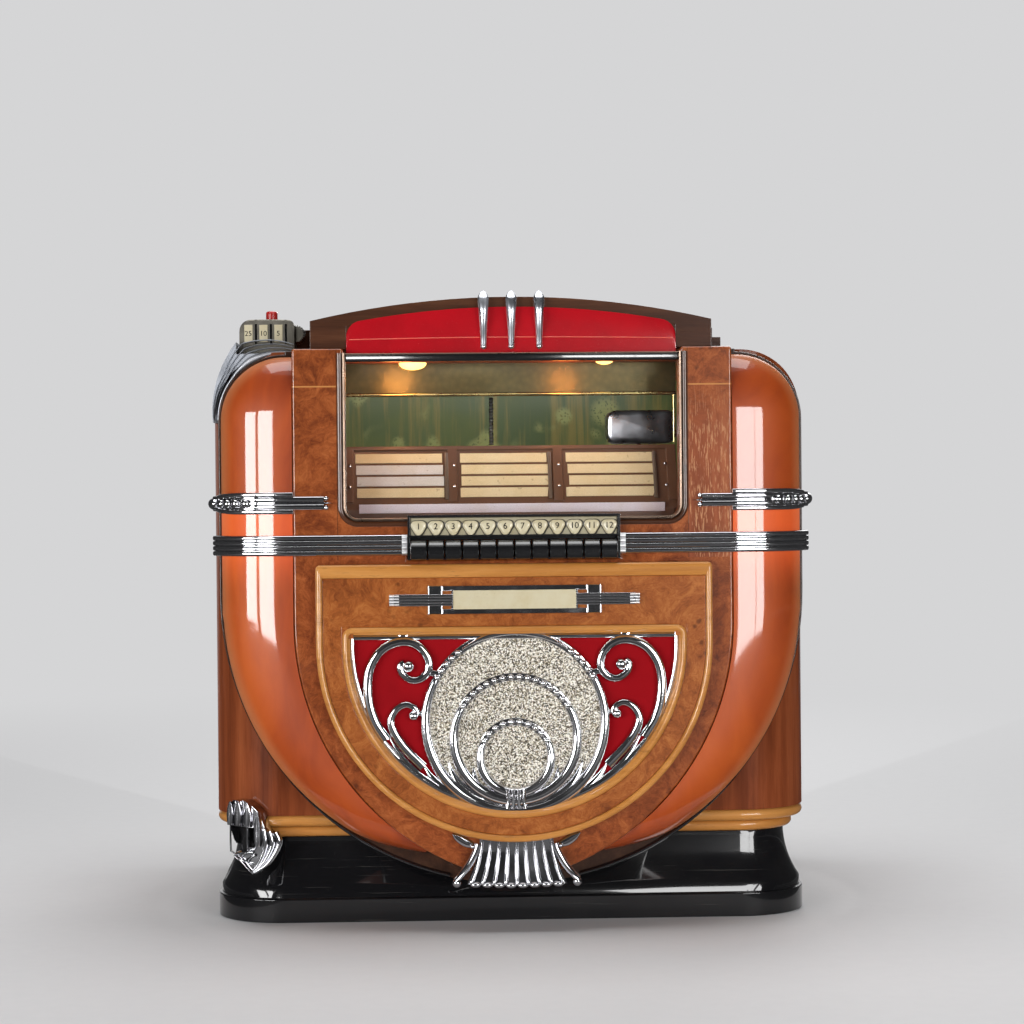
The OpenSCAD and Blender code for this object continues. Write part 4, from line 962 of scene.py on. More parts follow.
def at_height(line, z):
    """The same line, raised by one height or by a height for each point."""
    return line + np.stack([0 * line[:, 0], 0 * line[:, 0], np.broadcast_to(z, len(line))], 1)


BOARD_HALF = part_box("shield_board")[1].x
print("wrapping line:", len(wrap_run(1, 0.1)[0]), "points")

# %% [markdown]
# ## Chrome bands and bumpers
# A band is four reeds side by side, with a bright ferrule at its inner end. A bumper starts as a claw with
# two small balls, runs on as a pair of rails, swells to a collar that holds four beads and ends in a bullet.

# %% Bands
BAND_Z, BAND_PITCH = 0.34845, 0.0046
bands = Shape()
for side in (-1, 1):
    line, out = wrap_run(side, 0.0962)
    clad_bar(bands, at_height(line, BAND_Z), out, 0.0092, 0.0003, 0.0030)
    for k in range(4):
        clad_bar(bands, at_height(line, BAND_Z + (k - 1.5) * BAND_PITCH), out, 0.00215, 0.0014, 0.0042)
    short = np.linspace(0.0957, 0.1005, 5)
    cap = np.stack([side * short, 0 * short + FACE_Y, 0 * short], 1)
    for k in range(4):
        ferrule = at_height(cap, BAND_Z + (k - 1.5) * BAND_PITCH)
        clad_bar(bands, ferrule, to_front(5), 0.0024, 0.0022, 0.0046, mark=1)
bands.build("bands_reeded", "cabinet", [chrome, satin_chrome], "chrome", ["chrome_bands"], 32)

# %% Bumpers
BUMPER_Z = 0.3866
bumpers = Shape()
for side in (-1, 1):
    line, out = wrap_run(side, 0.170, 30, False)
    for level in (-0.0034, 0.0034):
        clad_bar(bumpers, at_height(line, BUMPER_Z + level), out, 0.0025, 0.0014, 0.0034)
    clad_bar(bumpers, at_height(line, BUMPER_Z), out, 0.0042, 0.0002, 0.0014)
    clad_bar(bumpers, at_height(line, BUMPER_Z), out, 0.0007, 0.0010, 0.0016)
    line, out = wrap_run(side, 0.1975, 84)
    share = np.linspace(0, 1, len(line))
    gap = 0.0076 - 0.0032 * np.clip((share - 0.72) / 0.28, 0, 1) ** 1.5
    swell = 0.4 + 0.6 * np.clip(share / 0.42, 0, 1) ** 0.5
    for level in (-1, 1):
        rail = at_height(line, BUMPER_Z + level * gap)
        clad_bar(bumpers, rail, out, 0.0021 * swell, 0.0010, 0.0044 * swell)
    clad_bar(bumpers, at_height(line, BUMPER_Z), out, gap, 0.0002, 0.0010)
    x = np.linspace(0.1612, 0.176, 12)
    spike = np.stack([side * x, 0 * x + FACE_Y, 0 * x + BUMPER_Z], 1)
    clad_bar(bumpers, spike, to_front(12), np.linspace(0.0003, 0.0022, 12), 0.0030, 0.0002)
    for level in (-0.0042, 0.0042):
        ball(bumpers, (side * 0.1680, FACE_Y - 0.0024, BUMPER_Z + level), 0.0023)
    for angle in np.radians([37.5, 48, 58.5, 69.5]):
        x = FRONT_HALF + (HALF_W - FRONT_HALF + 0.0030) * sin(angle)
        y = BOARD_Y - (BOARD_Y - FACE_Y + 0.0030) * cos(angle)
        ball(bumpers, (side * x, y, BUMPER_Z), 0.0042, 14, 20)
    ball(bumpers, (side * 0.2702, BOARD_Y + 0.006, BUMPER_Z), 0.0072, 14, 20, (1, 1.9, 0.86))
bumpers.build("bumpers_cast", "cabinet", [chrome], "chrome", ["chrome_bumpers"], 32)

# %% [markdown]
# ## Nameplate
# The plate is a bare ivory strip in a chrome channel. Blocks with upright lips close the channel, and a
# bundle of four reeds runs out of each block to a bright ferrule.

# %% Nameplate frame and plate
PLATE_Z, PLATE_HALF, BLOCK_RISE = 0.2990, 0.0660, 0.0128
plate = Shape()


def level_bar(shape, x0, x1, z, half, height, base=PANEL_Y, mark=0):
    """A straight bar from one x to another, half an ellipse in section."""
    front_bar(shape, np.stack([np.linspace(x0, x1, 8), np.full(8, z)], 1), base, half, height, mark=mark)


def upright_bar(shape, x, z0, z1, half, height):
    """A straight bar from one z to another, standing on the panel."""
    front_bar(shape, np.stack([np.full(8, x), np.linspace(z0, z1, 8)], 1), PANEL_Y, half, height)


for side in (-1, 1):
    rail = PLATE_Z + side * 0.0104
    brick(plate, (-PLATE_HALF, PANEL_Y - 0.0026, rail - 0.0022), (PLATE_HALF, PANEL_Y, rail + 0.0022), 0.0003)
    level_bar(plate, -PLATE_HALF, PLATE_HALF, PLATE_Z + side * 0.0124, 0.0006, 0.0036)
    low, high = sorted((side * 0.0645, side * 0.0778))
    block_low, block_high = PLATE_Z - BLOCK_RISE, PLATE_Z + BLOCK_RISE
    brick(plate, (low, PANEL_Y - 0.0022, block_low), (high, PANEL_Y, block_high), 0.0004)
    for x in (0.0650, 0.0774):
        upright_bar(plate, side * x, block_low, block_high, 0.0008, 0.0042)
    for k in range(4):
        z = PLATE_Z + (k - 1.5) * 0.0026
        reed = np.linspace(side * 0.0560, side * 0.1080, 8)
        reed = np.stack([reed, 0 * reed + PANEL_Y, 0 * reed + z], 1)
        clad_bar(plate, reed, to_front(8), 0.00122, 0.0005, 0.0042)
        low, high = sorted((side * 0.1035, side * 0.1122))
        level_bar(plate, low, high, z, 0.00130, 0.0053, mark=1)
    for k in range(9):
        ball(plate, (side * 0.0558, PANEL_Y - 0.0024, PLATE_Z + (k - 4) * 0.0021), 0.0012, 8, 10)
plate.build("nameplate_cast", "cabinet", [chrome, satin_chrome], "chrome", ["nameplate_frame"], 28)
softened("nameplate_insert", ivory, 0.0006)

# %% [markdown]
# ## Foot casting
# The foot is a sheet that flares forward as it falls. Thin ridges run down it, and the channel between two
# ridges ends in a lobe. The two outer rails curl out to a ball, and an ear on each side hugs the panel's
# lower edge.

# %% Foot
FOOT_Y = FACE_Y
FOOT_TOP, FOOT_LOW, FOOT_FLARE, FOOT_STEPS = 0.0077, 0.0106, 0.0062, 40
SHEET_HALF, SHEET_FRONT, SHEET_BACK = 4.3, 0.0052, 0.0022
CURL = [(0.0345, 0.0795), (0.0365, 0.0730), (0.0425, 0.0620), (0.0500, 0.0525), (0.0550, 0.0478)]
EAR = [(0.0575, 0.0882), (0.0530, 0.0850), (0.0455, 0.0802), (0.0385, 0.0775)]
foot = Shape()
fall = np.linspace(0, 1, FOOT_STEPS)
close = np.sqrt(np.clip(1 - np.clip((fall - 0.90) / 0.10, 0, 1) ** 2, 0.0004, 1))


def foot_line(place, forward):
    """A line down the flared sheet, from a place along its top that counts in reeds from the middle."""
    spread = FOOT_TOP + (FOOT_LOW - FOOT_TOP) * fall ** 1.7
    top_z = PANEL_CZ - sqrt((PANEL_HALF - 0.0005) ** 2 - (place * FOOT_TOP) ** 2)
    z = top_z + (0.0418 + 0.00035 * abs(place) - top_z) * fall
    return np.stack([place * spread, FOOT_Y - forward - FOOT_FLARE * fall ** 2.4, z], 1)


for k in range(-4, 5):
    ridge = (0.0013 + 0.0007 * fall) * close
    line = foot_line(k, SHEET_FRONT)
    clad_bar(foot, line, to_front(FOOT_STEPS), ridge, 0.0022 * close, 0.0016 * close, 14)
for k in range(-4, 4):
    low = foot_line(k + 0.5, 0.0056)[-1]
    ball(foot, low + [0, 0.0004, 0.0006], 0.0050, 12, 18, (1.0, 0.66, 0.52))
sheet = [foot_line(side * SHEET_HALF, SHEET_FRONT) for side in (-1, 1)]
sheet += [foot_line(side * SHEET_HALF, SHEET_BACK) for side in (1, -1)]
foot.grid(np.stack(sheet, 1))
for side in (-1, 1):
    curl = smooth_path(CURL, FOOT_STEPS)
    line = np.stack([side * curl[:, 0], FOOT_Y - 0.0050 - 0.0050 * fall ** 2, curl[:, 1]], 1)
    clad_bar(foot, line, to_front(FOOT_STEPS), 0.0030, 0.0026, 0.0034)
    ball(foot, (side * 0.0540, FOOT_Y - 0.0125, 0.0455), 0.0041, 14, 18)
    ear = smooth_path(EAR, 24)
    thick = 0.0042 * np.sin(np.linspace(0.15, pi * 0.8, 24))
    front_bar(foot, ear * [side, 1], FOOT_Y, thick, 0.0045, 16, crown=0.4)
    ball(foot, (side * 0.0395, FOOT_Y - 0.0060, 0.0770), 0.0022, 10, 14)
foot.build("foot_reeded", "cabinet", [cast_chrome], "chrome", ["foot_casting"], 34)

# %% [markdown]
# ## Coin return cup
# The cup wraps the rounded front corner of the plinth. Its surface is a grid over height and the angle round
# that corner. The two pockets are dips in the grid, and reeds, a frame and a scroll lie on it as bars.


# %% The cup's corner
CORNER_X, CORNER_Y, CORNER_R = -0.211, -0.085, 0.065
CUP_OFF = 0.0135


def on_corner(x, z, off):
    """A point seen at x and z from the front, set on the corner's round at that distance from it."""
    turn = np.arcsin(np.clip((CORNER_X - x) / (CORNER_R + CUP_OFF), -0.2, 0.985))
    out = np.stack([-np.sin(turn), -np.cos(turn), 0 * turn], -1)
    centre = np.stack([0 * turn + CORNER_X, 0 * turn + CORNER_Y, z + 0 * turn], -1)
    return centre + out * (CORNER_R + off)[..., None], out


def cup_bar(shape, points, half, rise, count=30, foot=0.0):
    """A bar on the cup, along a path that is given in millimetres as it is seen from the front."""
    path = smooth_path(points, count) / 1000
    line, out = on_corner(path[:, 0], path[:, 1], np.full(count, CUP_OFF))
    clad_bar(shape, line, out, half, rise, foot)


print("cup corner:", CORNER_X, CORNER_Y, "radius", CORNER_R)

# %% Cup
OUTLINE_Z = [47, 52, 58, 67, 77, 89, 103, 110, 114]
OUTLINE_L = [-240.5, -246.5, -254.5, -259, -261.6, -263.4, -264.4, -263, -259]
OUTLINE_R = [-239.5, -237, -226, -215.5, -213, -226, -231, -239, -247]
POCKETS = ((-0.2600, -0.2455, 0.0670, 0.0905), (-0.2430, -0.2375, 0.0715, 0.0895))
CUP_REEDS = (([(-259.5, 91.5), (-259.5, 104), (-258.3, 113.0)], 0.0040),
             ([(-252.2, 91.5), (-252, 104), (-251, 114.0)], 0.0043),
             ([(-243.5, 91), (-243.2, 103), (-242.5, 111.5)], 0.0046),
             ([(-234.5, 73), (-234.3, 90), (-233.6, 104.0)], 0.0042))
CUP_FLUTES = ([(-228.8, 88), (-227.5, 73), (-233.5, 57), (-238.5, 51.5)],
              [(-224, 87), (-221.5, 74), (-230, 57), (-238, 50)],
              [(-218.5, 86), (-215.3, 75.5), (-225, 58), (-237.5, 48.8)])
CUP_FRAME = ([(-260.3, 66.5), (-260.5, 78), (-260.3, 91)], [(-244.3, 68), (-244.3, 80), (-244.3, 90.5)],
             [(-237, 70.5), (-237.2, 80), (-237.3, 90)], [(-260.3, 91), (-250, 90.8), (-237, 90)],
             [(-260, 67), (-255, 64.5), (-248, 66.5), (-237, 70.5)])
CUP_SCROLLS = ([(-238.5, 67.5), (-245, 66.5), (-250, 62.5), (-247, 59), (-244, 61)],
               [(-236.5, 65), (-241.5, 62), (-243.5, 57.5), (-239.5, 56.5)],
               [(-250.5, 60), (-246, 55), (-241.5, 50)], [(-256, 63.5), (-252, 60), (-250.5, 63)])
height = np.linspace(0.047, 0.114, 64)
left, right = [np.interp(height * 1000, OUTLINE_Z, line) / 1000 for line in (OUTLINE_L, OUTLINE_R)]
share = np.linspace(0, 1, 90)
x = left[:, None] + (right - left)[:, None] * share
z = height[:, None] + 0 * x
edge = np.clip(np.minimum(share, 1 - share) / 0.07, 0, 1)[None] ** 0.5
pocket = np.any([(x > x0) & (x < x1) & (z > z0) & (z < z1) for x0, x1, z0, z1 in POCKETS], 0)
off = 0.003 + (CUP_OFF - 0.003) * edge - 0.011 * pocket
surface = on_corner(x, z, off)[0]
inside = on_corner(x[:, ::-1], z[:, ::-1], 0 * off + 0.0004)[0]
cup = Shape()
cup_faces = np.zeros((len(height) - 1, 2 * len(share)), int)
# painted shade: the faces inside the two pockets take black plastic for the dark inside of the openings
dark = pocket[:-1, :-1] | pocket[1:, 1:] | pocket[:-1, 1:] | pocket[1:, :-1]
cup_faces[:, :len(share) - 1] = dark
cup.grid(np.concatenate([surface, inside], 1), mark=cup_faces)
for points, half in CUP_REEDS:
    cup_bar(cup, points, half * np.sin(np.linspace(0.9, pi - 0.35, 30)), 0.0048, foot=0.0002)
for points in CUP_FLUTES:
    cup_bar(cup, points, np.linspace(0.0034, 0.0016, 30), 0.0044)
for points in CUP_FRAME:
    cup_bar(cup, points, 0.0007, 0.0016, 16)
for points in CUP_SCROLLS:
    cup_bar(cup, points, np.linspace(0.0014, 0.0008, 30), 0.0030)
cup.build("cup_cast", "cabinet", [cast_chrome, black_plastic], "chrome", ["coin_return_cup"], 50)

# %% [markdown]
# ## Window trim
# The window has a narrow wooden bevel and, inside it, a thin metal rod. Both follow the same open outline:
# down one side, round the two lower corners and up the other side.

# %% Window trim
WINDOW_HALF, WINDOW_LOW, WINDOW_CORNER = 0.1575, 0.3650, 0.018
WINDOW_TOP, WINDOW_MID = 0.5208, 0.46


def window_line(inset):
    """The window's outline without its top, drawn in by an inset."""
    half, low, r = WINDOW_HALF - inset, WINDOW_LOW + inset, WINDOW_CORNER - inset
    left = np.array([-half + r, low + r]) + r * turn_about(np.linspace(pi, 1.5 * pi, 18))
    right = np.array([half - r, low + r]) + r * turn_about(np.linspace(1.5 * pi, 2 * pi, 18))
    left_end, right_end = [(-half, WINDOW_TOP), (-half, WINDOW_MID)], [(half, WINDOW_MID), (half, WINDOW_TOP)]
    return np.concatenate([left_end, left, right, right_end])


def window_bead(shape, profile, base_y, mark=0):
    """Carry a profile of (inset, height) pairs along the window's outline."""
    rows = [upright(window_line(inset), base_y - height) for inset, height in profile]
    return shape.grid(np.array(rows).transpose(1, 0, 2), mark=mark)


trim = Shape()
bevel = [(0.0, 0.0002), (0.0, 0.0008), (0.0012, 0.0018), (0.0034, 0.0018), (0.0046, 0.0006), (0.0046, 0.0002)]
window_bead(trim, bevel, FACE_Y)
rod = [(0.0062 + 0.0016 * cos(a), 0.0012 + 0.0018 * sin(a)) for a in np.linspace(0, 2 * pi, 13)[:-1]]
window_bead(trim, rod, FACE_Y, 1)
brick(trim, (-0.1535, FACE_Y - 0.0008, 0.5130), (0.1535, FACE_Y + 0.0018, 0.5206), 0.0008, 2)
level_bar(trim, -0.1535, 0.1535, 0.5198, 0.0008, 0.0020, FACE_Y, 1)
trim.build("window_rod", "cabinet", [lid_wood, nickel_trim, black_plastic], "trim_metal", ["window_trim"], 50)

# %% [markdown]
# ## Keys, badges and numerals
# Twelve black keys stand under an ivory strip with twelve badges. A badge is a rounded triangle: a circle
# whose radius swells three times round. It is built from rings that shrink to the middle, with a raised rim.
# The numerals are plain numbers. Each becomes a mesh first and is then put in its place.

# %% Keys
KEY_PITCH = 0.01555
KEY_SIDE = np.array([(-0.1860, 0.3486), (-0.2066, 0.3499), (-0.2118, 0.3521), (-0.2148, 0.3526),
                     (-0.2162, 0.3520), (-0.2206, 0.3472), (-0.2217, 0.3450), (-0.2220, 0.3420),
                     (-0.2220, 0.3380), (-0.2214, 0.3360), (-0.2198, 0.3353), (-0.2176, 0.3357),
                     (-0.2164, 0.3385), (-0.2150, 0.3395), (-0.1860, 0.3412)])
KEY_ROWS = ((-0.0072, 0.0014), (-0.0069, 0.0006), (-0.0062, 0.0),
            (0.0062, 0.0), (0.0069, 0.0006), (0.0072, 0.0014))
for i in range(1, 13):
    key = Shape()
    middle = KEY_SIDE.mean(0)
    arm = KEY_SIDE - middle
    reach = np.linalg.norm(arm, axis=1, keepdims=True)
    rows = []
    for x, inset in KEY_ROWS:
        side = middle + arm * (1 - inset / reach)
        rows.append(np.stack([np.full(len(side), (i - 6.5) * KEY_PITCH + x), side[:, 0], side[:, 1]], 1))
    key.grid(np.array(rows))
    node = f"selector_key_{i:02d}"
    key.build(f"key_cap_{i:02d}", f"key_{i:02d}", [black_plastic], "black_plastic", [node], 30)
softened("key_housing", black_plastic, 0.0009)


# %% Badges, labels and numerals
def badge(shape, x, y, z, radius=0.0066, mark=0):
    """Rings of a rounded triangle that points down, from the back edge over a rim to a shallow dish."""
    angle = np.linspace(0, 2 * pi, 49)[:-1]
    outline = turn_about(angle) * (1 + 0.13 * np.cos(3 * (angle + pi / 2)))[:, None]
    steps = [(1.0, 0), (1.0, 0.0016), (0.96, 0.0024), (0.90, 0.0026), (0.83, 0.0021)]
    steps += [(0.6, 0.0018), (0.3, 0.0017), (0.02, 0.0017)]
    rows = []
    for share, height in steps:
        rows.append(upright([x, z] + radius * share * outline, y - height))
    return shape.grid(np.array(rows), mark=mark)


def numeral(shape, text, x, y, z, size, mark):
    """A plain number facing the front, added to a shape."""
    curve = bpy.data.curves.new("numeral", "FONT")
    curve.body, curve.size, curve.extrude = text, size, 0.00015
    curve.align_x, curve.align_y = "CENTER", "CENTER"
    holder = bpy.data.objects.new("numeral", curve)
    flat = bpy.data.meshes.new_from_object(holder)
    spots = points_of(flat)
    faces = [list(face.vertices) for face in flat.polygons]
    shape.add(np.stack([x + spots[:, 0], y - spots[:, 2], z + spots[:, 1]], 1), faces, mark)
    bpy.data.objects.remove(holder)
    bpy.data.curves.remove(curve)
    bpy.data.meshes.remove(flat)


STRIP_Y, STRIP_Z, STRIP_HALF = -0.2125, 0.3642, 0.0928
COIN_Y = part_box("coin_head")[0].y
SLOT_X = [-0.2338, -0.2200, -0.2062]
numbers = Shape()
STRIP_BACK = STRIP_Y + 0.0015
low, high = (-STRIP_HALF, STRIP_Y, STRIP_Z - 0.0084), (STRIP_HALF, STRIP_BACK, STRIP_Z + 0.0084)
brick(numbers, low, high, 0.0006, 2)
brick(numbers, (-STRIP_HALF, FACE_Y - 0.0007, 0.3528), (STRIP_HALF, FACE_Y - 0.0001, 0.3562), 0.0, 1)
for i in range(12):
    x = (i - 5.5) * KEY_PITCH
    # painted shadow: a dark copy of each badge, set a little lower and to the right behind it
    badge(numbers, x + 0.0004, STRIP_BACK, STRIP_Z - 0.0004, 0.0076, 3)
    badge(numbers, x, STRIP_Y, STRIP_Z)
    numeral(numbers, str(i + 1), x, STRIP_Y - 0.0018, STRIP_Z + 0.0004, 0.0078, 1)
for x, text in zip(SLOT_X, ("25", "10", "5")):
    brick(numbers, (x - 0.0106, COIN_Y - 0.0006, 0.5355), (x - 0.0030, COIN_Y - 0.0001, 0.5512), 0.0002)
    numeral(numbers, text, x - 0.0069, COIN_Y - 0.0006, 0.5430, 0.0066, 1)
strip_ivory = ivory_plastic("strip_ivory", rgb(166, 158, 130))
# the dark finish of the painted badge shadows
painted_badge_shadow = ivory_plastic("painted_badge_shadow", rgb(58, 52, 40))
finishes = [ivory, black_plastic, strip_ivory, painted_badge_shadow]
numbers.build("numbers", "cabinet", finishes, "ivory_plastic", ["number_badges"], 40)

# %% [markdown]
# ## Coin head
# The head is a block with a rounded shoulder. Its front is made of strips with gaps between them, so that
# the three coin slots are real openings with a dark plate behind. A knurled knob sits at its right end. The
# ribbed casting below it is copied from its solid, drawn in towards its lower end and given its lip and ribs.

# %% Coin head
HEAD_L, HEAD_R, HEAD_Z0, HEAD_Z1 = -0.2490, -0.1985, 0.525, 0.5562
SLOT_HALF, SLOT_Z0, SLOT_Z1 = 0.0011, 0.5335, 0.5520


def head_top(x):
    """Height of the head: a round corner of 10 mm on the left and 5 mm on the right, and a slight arch."""
    left = np.clip((HEAD_L + 0.010 - x) / 0.010, 0, 1)
    right = np.clip((x - HEAD_R + 0.005) / 0.005, 0, 1)
    drop = 0.010 * (1 - np.sqrt(1 - left ** 2)) + 0.005 * (1 - np.sqrt(1 - right ** 2))
    return HEAD_Z1 - 0.0012 * ((x + 0.225) / 0.03) ** 2 - drop


def head_piece(shape, x0, x1, y0, y1, z0=HEAD_Z0, z1=1.0, chamfer=0.0):
    """A slice of the head between two x values, with its arched top."""
    x = np.linspace(x0, x1, 40)
    rows = []
    for y, inset in ((y1, 0.0), (y0 + chamfer, 0.0), (y0, chamfer)):
        top = np.minimum(head_top(x), z1) - inset
        upper = np.stack([x, np.full(40, y), top], 1)
        lower = np.stack([x[::-1], np.full(40, y), np.full(40, z0)], 1)
        rows.append(np.concatenate([upper, lower]))
    return shape.grid(np.array(rows))


head = Shape()
head_piece(head, HEAD_L, HEAD_R, COIN_Y + 0.004, COIN_Y + 0.050)
edges = [HEAD_L] + [x + s * SLOT_HALF for x in SLOT_X for s in (-1, 1)] + [HEAD_R]
for x0, x1 in zip(edges[::2], edges[1::2]):
    head_piece(head, x0, x1, COIN_Y, COIN_Y + 0.004, chamfer=0.0008)
for x in SLOT_X:
    head_piece(head, x - SLOT_HALF, x + SLOT_HALF, COIN_Y, COIN_Y + 0.004, HEAD_Z0, SLOT_Z0)
    head_piece(head, x - SLOT_HALF, x + SLOT_HALF, COIN_Y, COIN_Y + 0.004, SLOT_Z1)
    # painted shade: a black plate behind each slot stands for the dark inside of the head
    brick(head, (x - SLOT_HALF, COIN_Y + 0.0032, SLOT_Z0), (x + SLOT_HALF, COIN_Y + 0.0039, SLOT_Z1), 0.0, 1)
spin = np.linspace(0, 2 * pi, 97)[:-1]
KNOB_AT = [-0.1975, 0.5425]
KNOB_ROWS = ((0.030, 1.0), (0.006, 1.0), (0.004, 0.86), (0.004, 0.02))
knurl = (0.0082 + 0.0005 * np.sign(np.sin(spin * 24 + 0.1)))[:, None] * turn_about(spin)
head.grid(np.array([upright(KNOB_AT + knurl * share, COIN_Y + back) for back, share in KNOB_ROWS]))
head.build("coin_head_cast", "cabinet", [pewter, black_plastic], "pewter_casting", ["coin_head"], 35)

# %% Shoulder casting
LIP_R = BOARD_HALF - DOME_X + 0.0004
LIP_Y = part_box("coin_casting")[0].y
hood = softened("coin_casting", grey_casting, 0.0007, crease=30)


def draw_in(places):
    """Points outside the lip come nearer to it, by a share that grows towards the lower end."""
    middle = np.array([-DOME_X, 0, DOME_Z])
    arm = (places - middle) * [1, 0, 1]
    far = np.linalg.norm(arm, axis=1)
    keep = np.interp(np.degrees(np.arctan2(arm[:, 2], arm[:, 0])) % 360, [119, 179], [0.94, 0.55])
    near = np.where(far > LIP_R, (LIP_R + (far - LIP_R) * keep) / far, 1.0)
    return places + arm * (near - 1)[:, None]


move_points(hood.data, draw_in)
lip = Shape()
angle = np.radians(np.linspace(84, 178, 60))
grow = np.interp(np.degrees(angle), [84, 119, 142, 178], [0.012, 0.0245, 0.0120, 0.0058])
# the first bar, the lip, takes the lighter copy of the casting metal: a painted highlight along the dome's
# edge
for share, wide, mark in ((0.16, 0.15, 1), (0.45, 0.035, 0), (0.65, 0.035, 0), (0.85, 0.035, 0)):
    path = [-DOME_X, DOME_Z] + (LIP_R + share * grow)[:, None] * turn_about(angle)
    front_bar(lip, path, LIP_Y + 0.0015, wide * grow, 0.0030 if mark else 0.0034, 14, mark)
lip.build("casting_ribs", "cabinet", [grey_casting, painted_lit_lip_grey], "grey_casting", (), 50)

# %% Return button
button_low, button_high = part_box("coin_return_button")
button_at = (button_low + button_high) / 2
button = Shape()
spin = np.linspace(0, 2 * pi, 41)[:-1]
BUTTON_R = (button_high.x - button_low.x) / 2
BUTTON_ROWS = [(0.0, 1.0), (0.0165, 1.0), (0.0175, 0.97), (0.0182, 0.88)]
BUTTON_ROWS += [(0.0187, 0.7), (0.0190, 0.4), (0.0191, 0.02)]
ring = BUTTON_R * turn_about(spin)
rows = []
for rise, share in BUTTON_ROWS:
    level = np.full(len(spin), button_low.z + rise)
    rows.append(np.stack([button_at.x + share * ring[:, 0], button_at.y + share * ring[:, 1], level], 1))
button.grid(np.array(rows))
button.build("button_cap", "coin_button", [button_red], "red_plastic", ["coin_return_button"], 40)

# %% [markdown]
# ## Lid
# The lid's wood gets rounded edges. The red panel carries a fine moulded line, and three fins stand on it:
# each is a half round that is pointed above, widest near the top and drawn out to a ball below.

# %% Lid and red panel
softened("lid_frame", lid_wood, 0.0035, "lid", 3)
PANEL_R, RED_HALF, RED_Z0, RED_ARCH, RED_FALL = 0.012, 0.1492, 0.5212, 0.5628, 0.639
x = RED_HALF * np.sin(np.linspace(-pi / 2, pi / 2, 121))
corner = np.clip(abs(x) - (RED_HALF - PANEL_R), 0, PANEL_R)
red_top = RED_ARCH - RED_FALL * x ** 2 - PANEL_R + np.sqrt(PANEL_R ** 2 - corner ** 2)
RED_FRONT, RED_BACK, RED_LEAN = -0.1905, -0.1818, 0.0024
climb = np.linspace(0, 1, 24)
climb_y = np.concatenate([[RED_BACK], RED_FRONT + RED_LEAN * climb ** 3, [RED_BACK]])
climb_z = RED_Z0 + (red_top - RED_Z0)[:, None] * np.concatenate([[0], climb, [1]])
red_face = Shape()
red_face.grid(np.stack([x[:, None] + 0 * climb_z, climb_y + 0 * climb_z, climb_z], -1))
red_face.build("red_panel", "lid", [red_plastic], "red_plastic", ["lid_red_panel"], 50)
red_corner = Shape()
for side in (-1, 1):
    low, high = sorted((side * 0.130, side * 0.1505))
    brick(red_corner, (low, -0.1874, 0.5310), (high, -0.1822, 0.5500))
red_corner.build("lid_corners", "lid", [lid_wood], "dark_wood", (), 40)
panel_line = Shape()
LINE_HALF, LINE_Z, LINE_ARCH = 0.1465, 0.5352, 0.0016
x = np.linspace(-LINE_HALF, LINE_HALF, 60)
front_bar(panel_line, np.stack([x, LINE_Z - LINE_ARCH * (x / LINE_HALF) ** 2], 1), -0.1902, 0.0005, 0.0008)
# the moulded line is real; its paler red is a painted highlight along it
highlight_line_red = moulded_plastic("highlight_line_red", rgb(236, 96, 80), 0.12)
panel_line.build("panel_line", "lid", [highlight_line_red], "red_plastic")

# %% Fins
fins = Shape()
FIN_PITCH, FIN_STEPS = 0.0252, 60
FIN_Z = [0.5775, 0.5760, 0.5725, 0.5690, 0.5600, 0.5480, 0.5360, 0.5275]
FIN_W = [0.0002, 0.0022, 0.0044, 0.0048, 0.0042, 0.0034, 0.0027, 0.0024]
FIN_DEEP = [0.0010, 0.0030, 0.0062, 0.0086, 0.0112, 0.0100, 0.0066, 0.0046]
z, half, deep = smooth_path(np.stack([FIN_Z, FIN_W, FIN_DEEP], 1), FIN_STEPS).T
for k in (-1, 0, 1):
    line = np.stack([0 * z + k * FIN_PITCH, 0 * z - 0.1885, z], 1)
    clad_bar(fins, line, to_front(FIN_STEPS), half, deep * 0.35, deep * 0.65, 16)
    ball(fins, (k * FIN_PITCH, -0.1915, 0.5268), 0.0026, 12, 16)
fins.build("fins_cast", "lid", [fin_chrome], "chrome", ["lid_fins"], 40)

# %% [markdown]
# ## Inside the window
# A green backdrop, a mottled reflector with a brass rod under its edge, and two bulbs that light the titles
# from above. The bulbs really shine, so the reflector glows orange round them without any painted light. The
# title cards slip a little in their holders, and the tone arm gets a rounded shell over its head.

# %% Backdrop, reflector, rod and bulbs
inside = Shape()
brick(inside, (-0.214, 0.2035, 0.392), (0.214, 0.2078, 0.511))
inside.build("backdrop", "cabinet", [backdrop_green], "green_board", ["backdrop_lamps"], 40)
ROD_HALF, ROD_Y, ROD_Z, ROD_LOW = 0.1555, -0.1262, 0.4858, 0.4400
shade = Shape()
brick(shade, (-ROD_HALF, -0.1232, 0.4860), (ROD_HALF, -0.1222, 0.5148))
shade.build("reflector", "cabinet", [reflector_sheet], "trim_metal", (), 40)


def round_rod(shape, start, stop, radius, rows=2, ripple=0.0):
    """A round rod between two points, with ripples along it where it is threaded."""
    share = np.linspace(0, 1, rows)[:, None]
    line = np.asarray(start) * (1 - share) + np.asarray(stop) * share
    along = lean(line)[0]
    first = np.cross(along, (0.3, 0.9, 0.2))
    first = first / np.linalg.norm(first)
    second = np.cross(along, first)
    spin = np.linspace(0, 2 * pi, 17)[:-1]
    ring = np.cos(spin)[:, None] * first + np.sin(spin)[:, None] * second
    size = radius * (1 + ripple * np.sin(np.arange(rows) * pi / 2))
    return shape.grid(line[:, None] + ring * size[:, None, None])


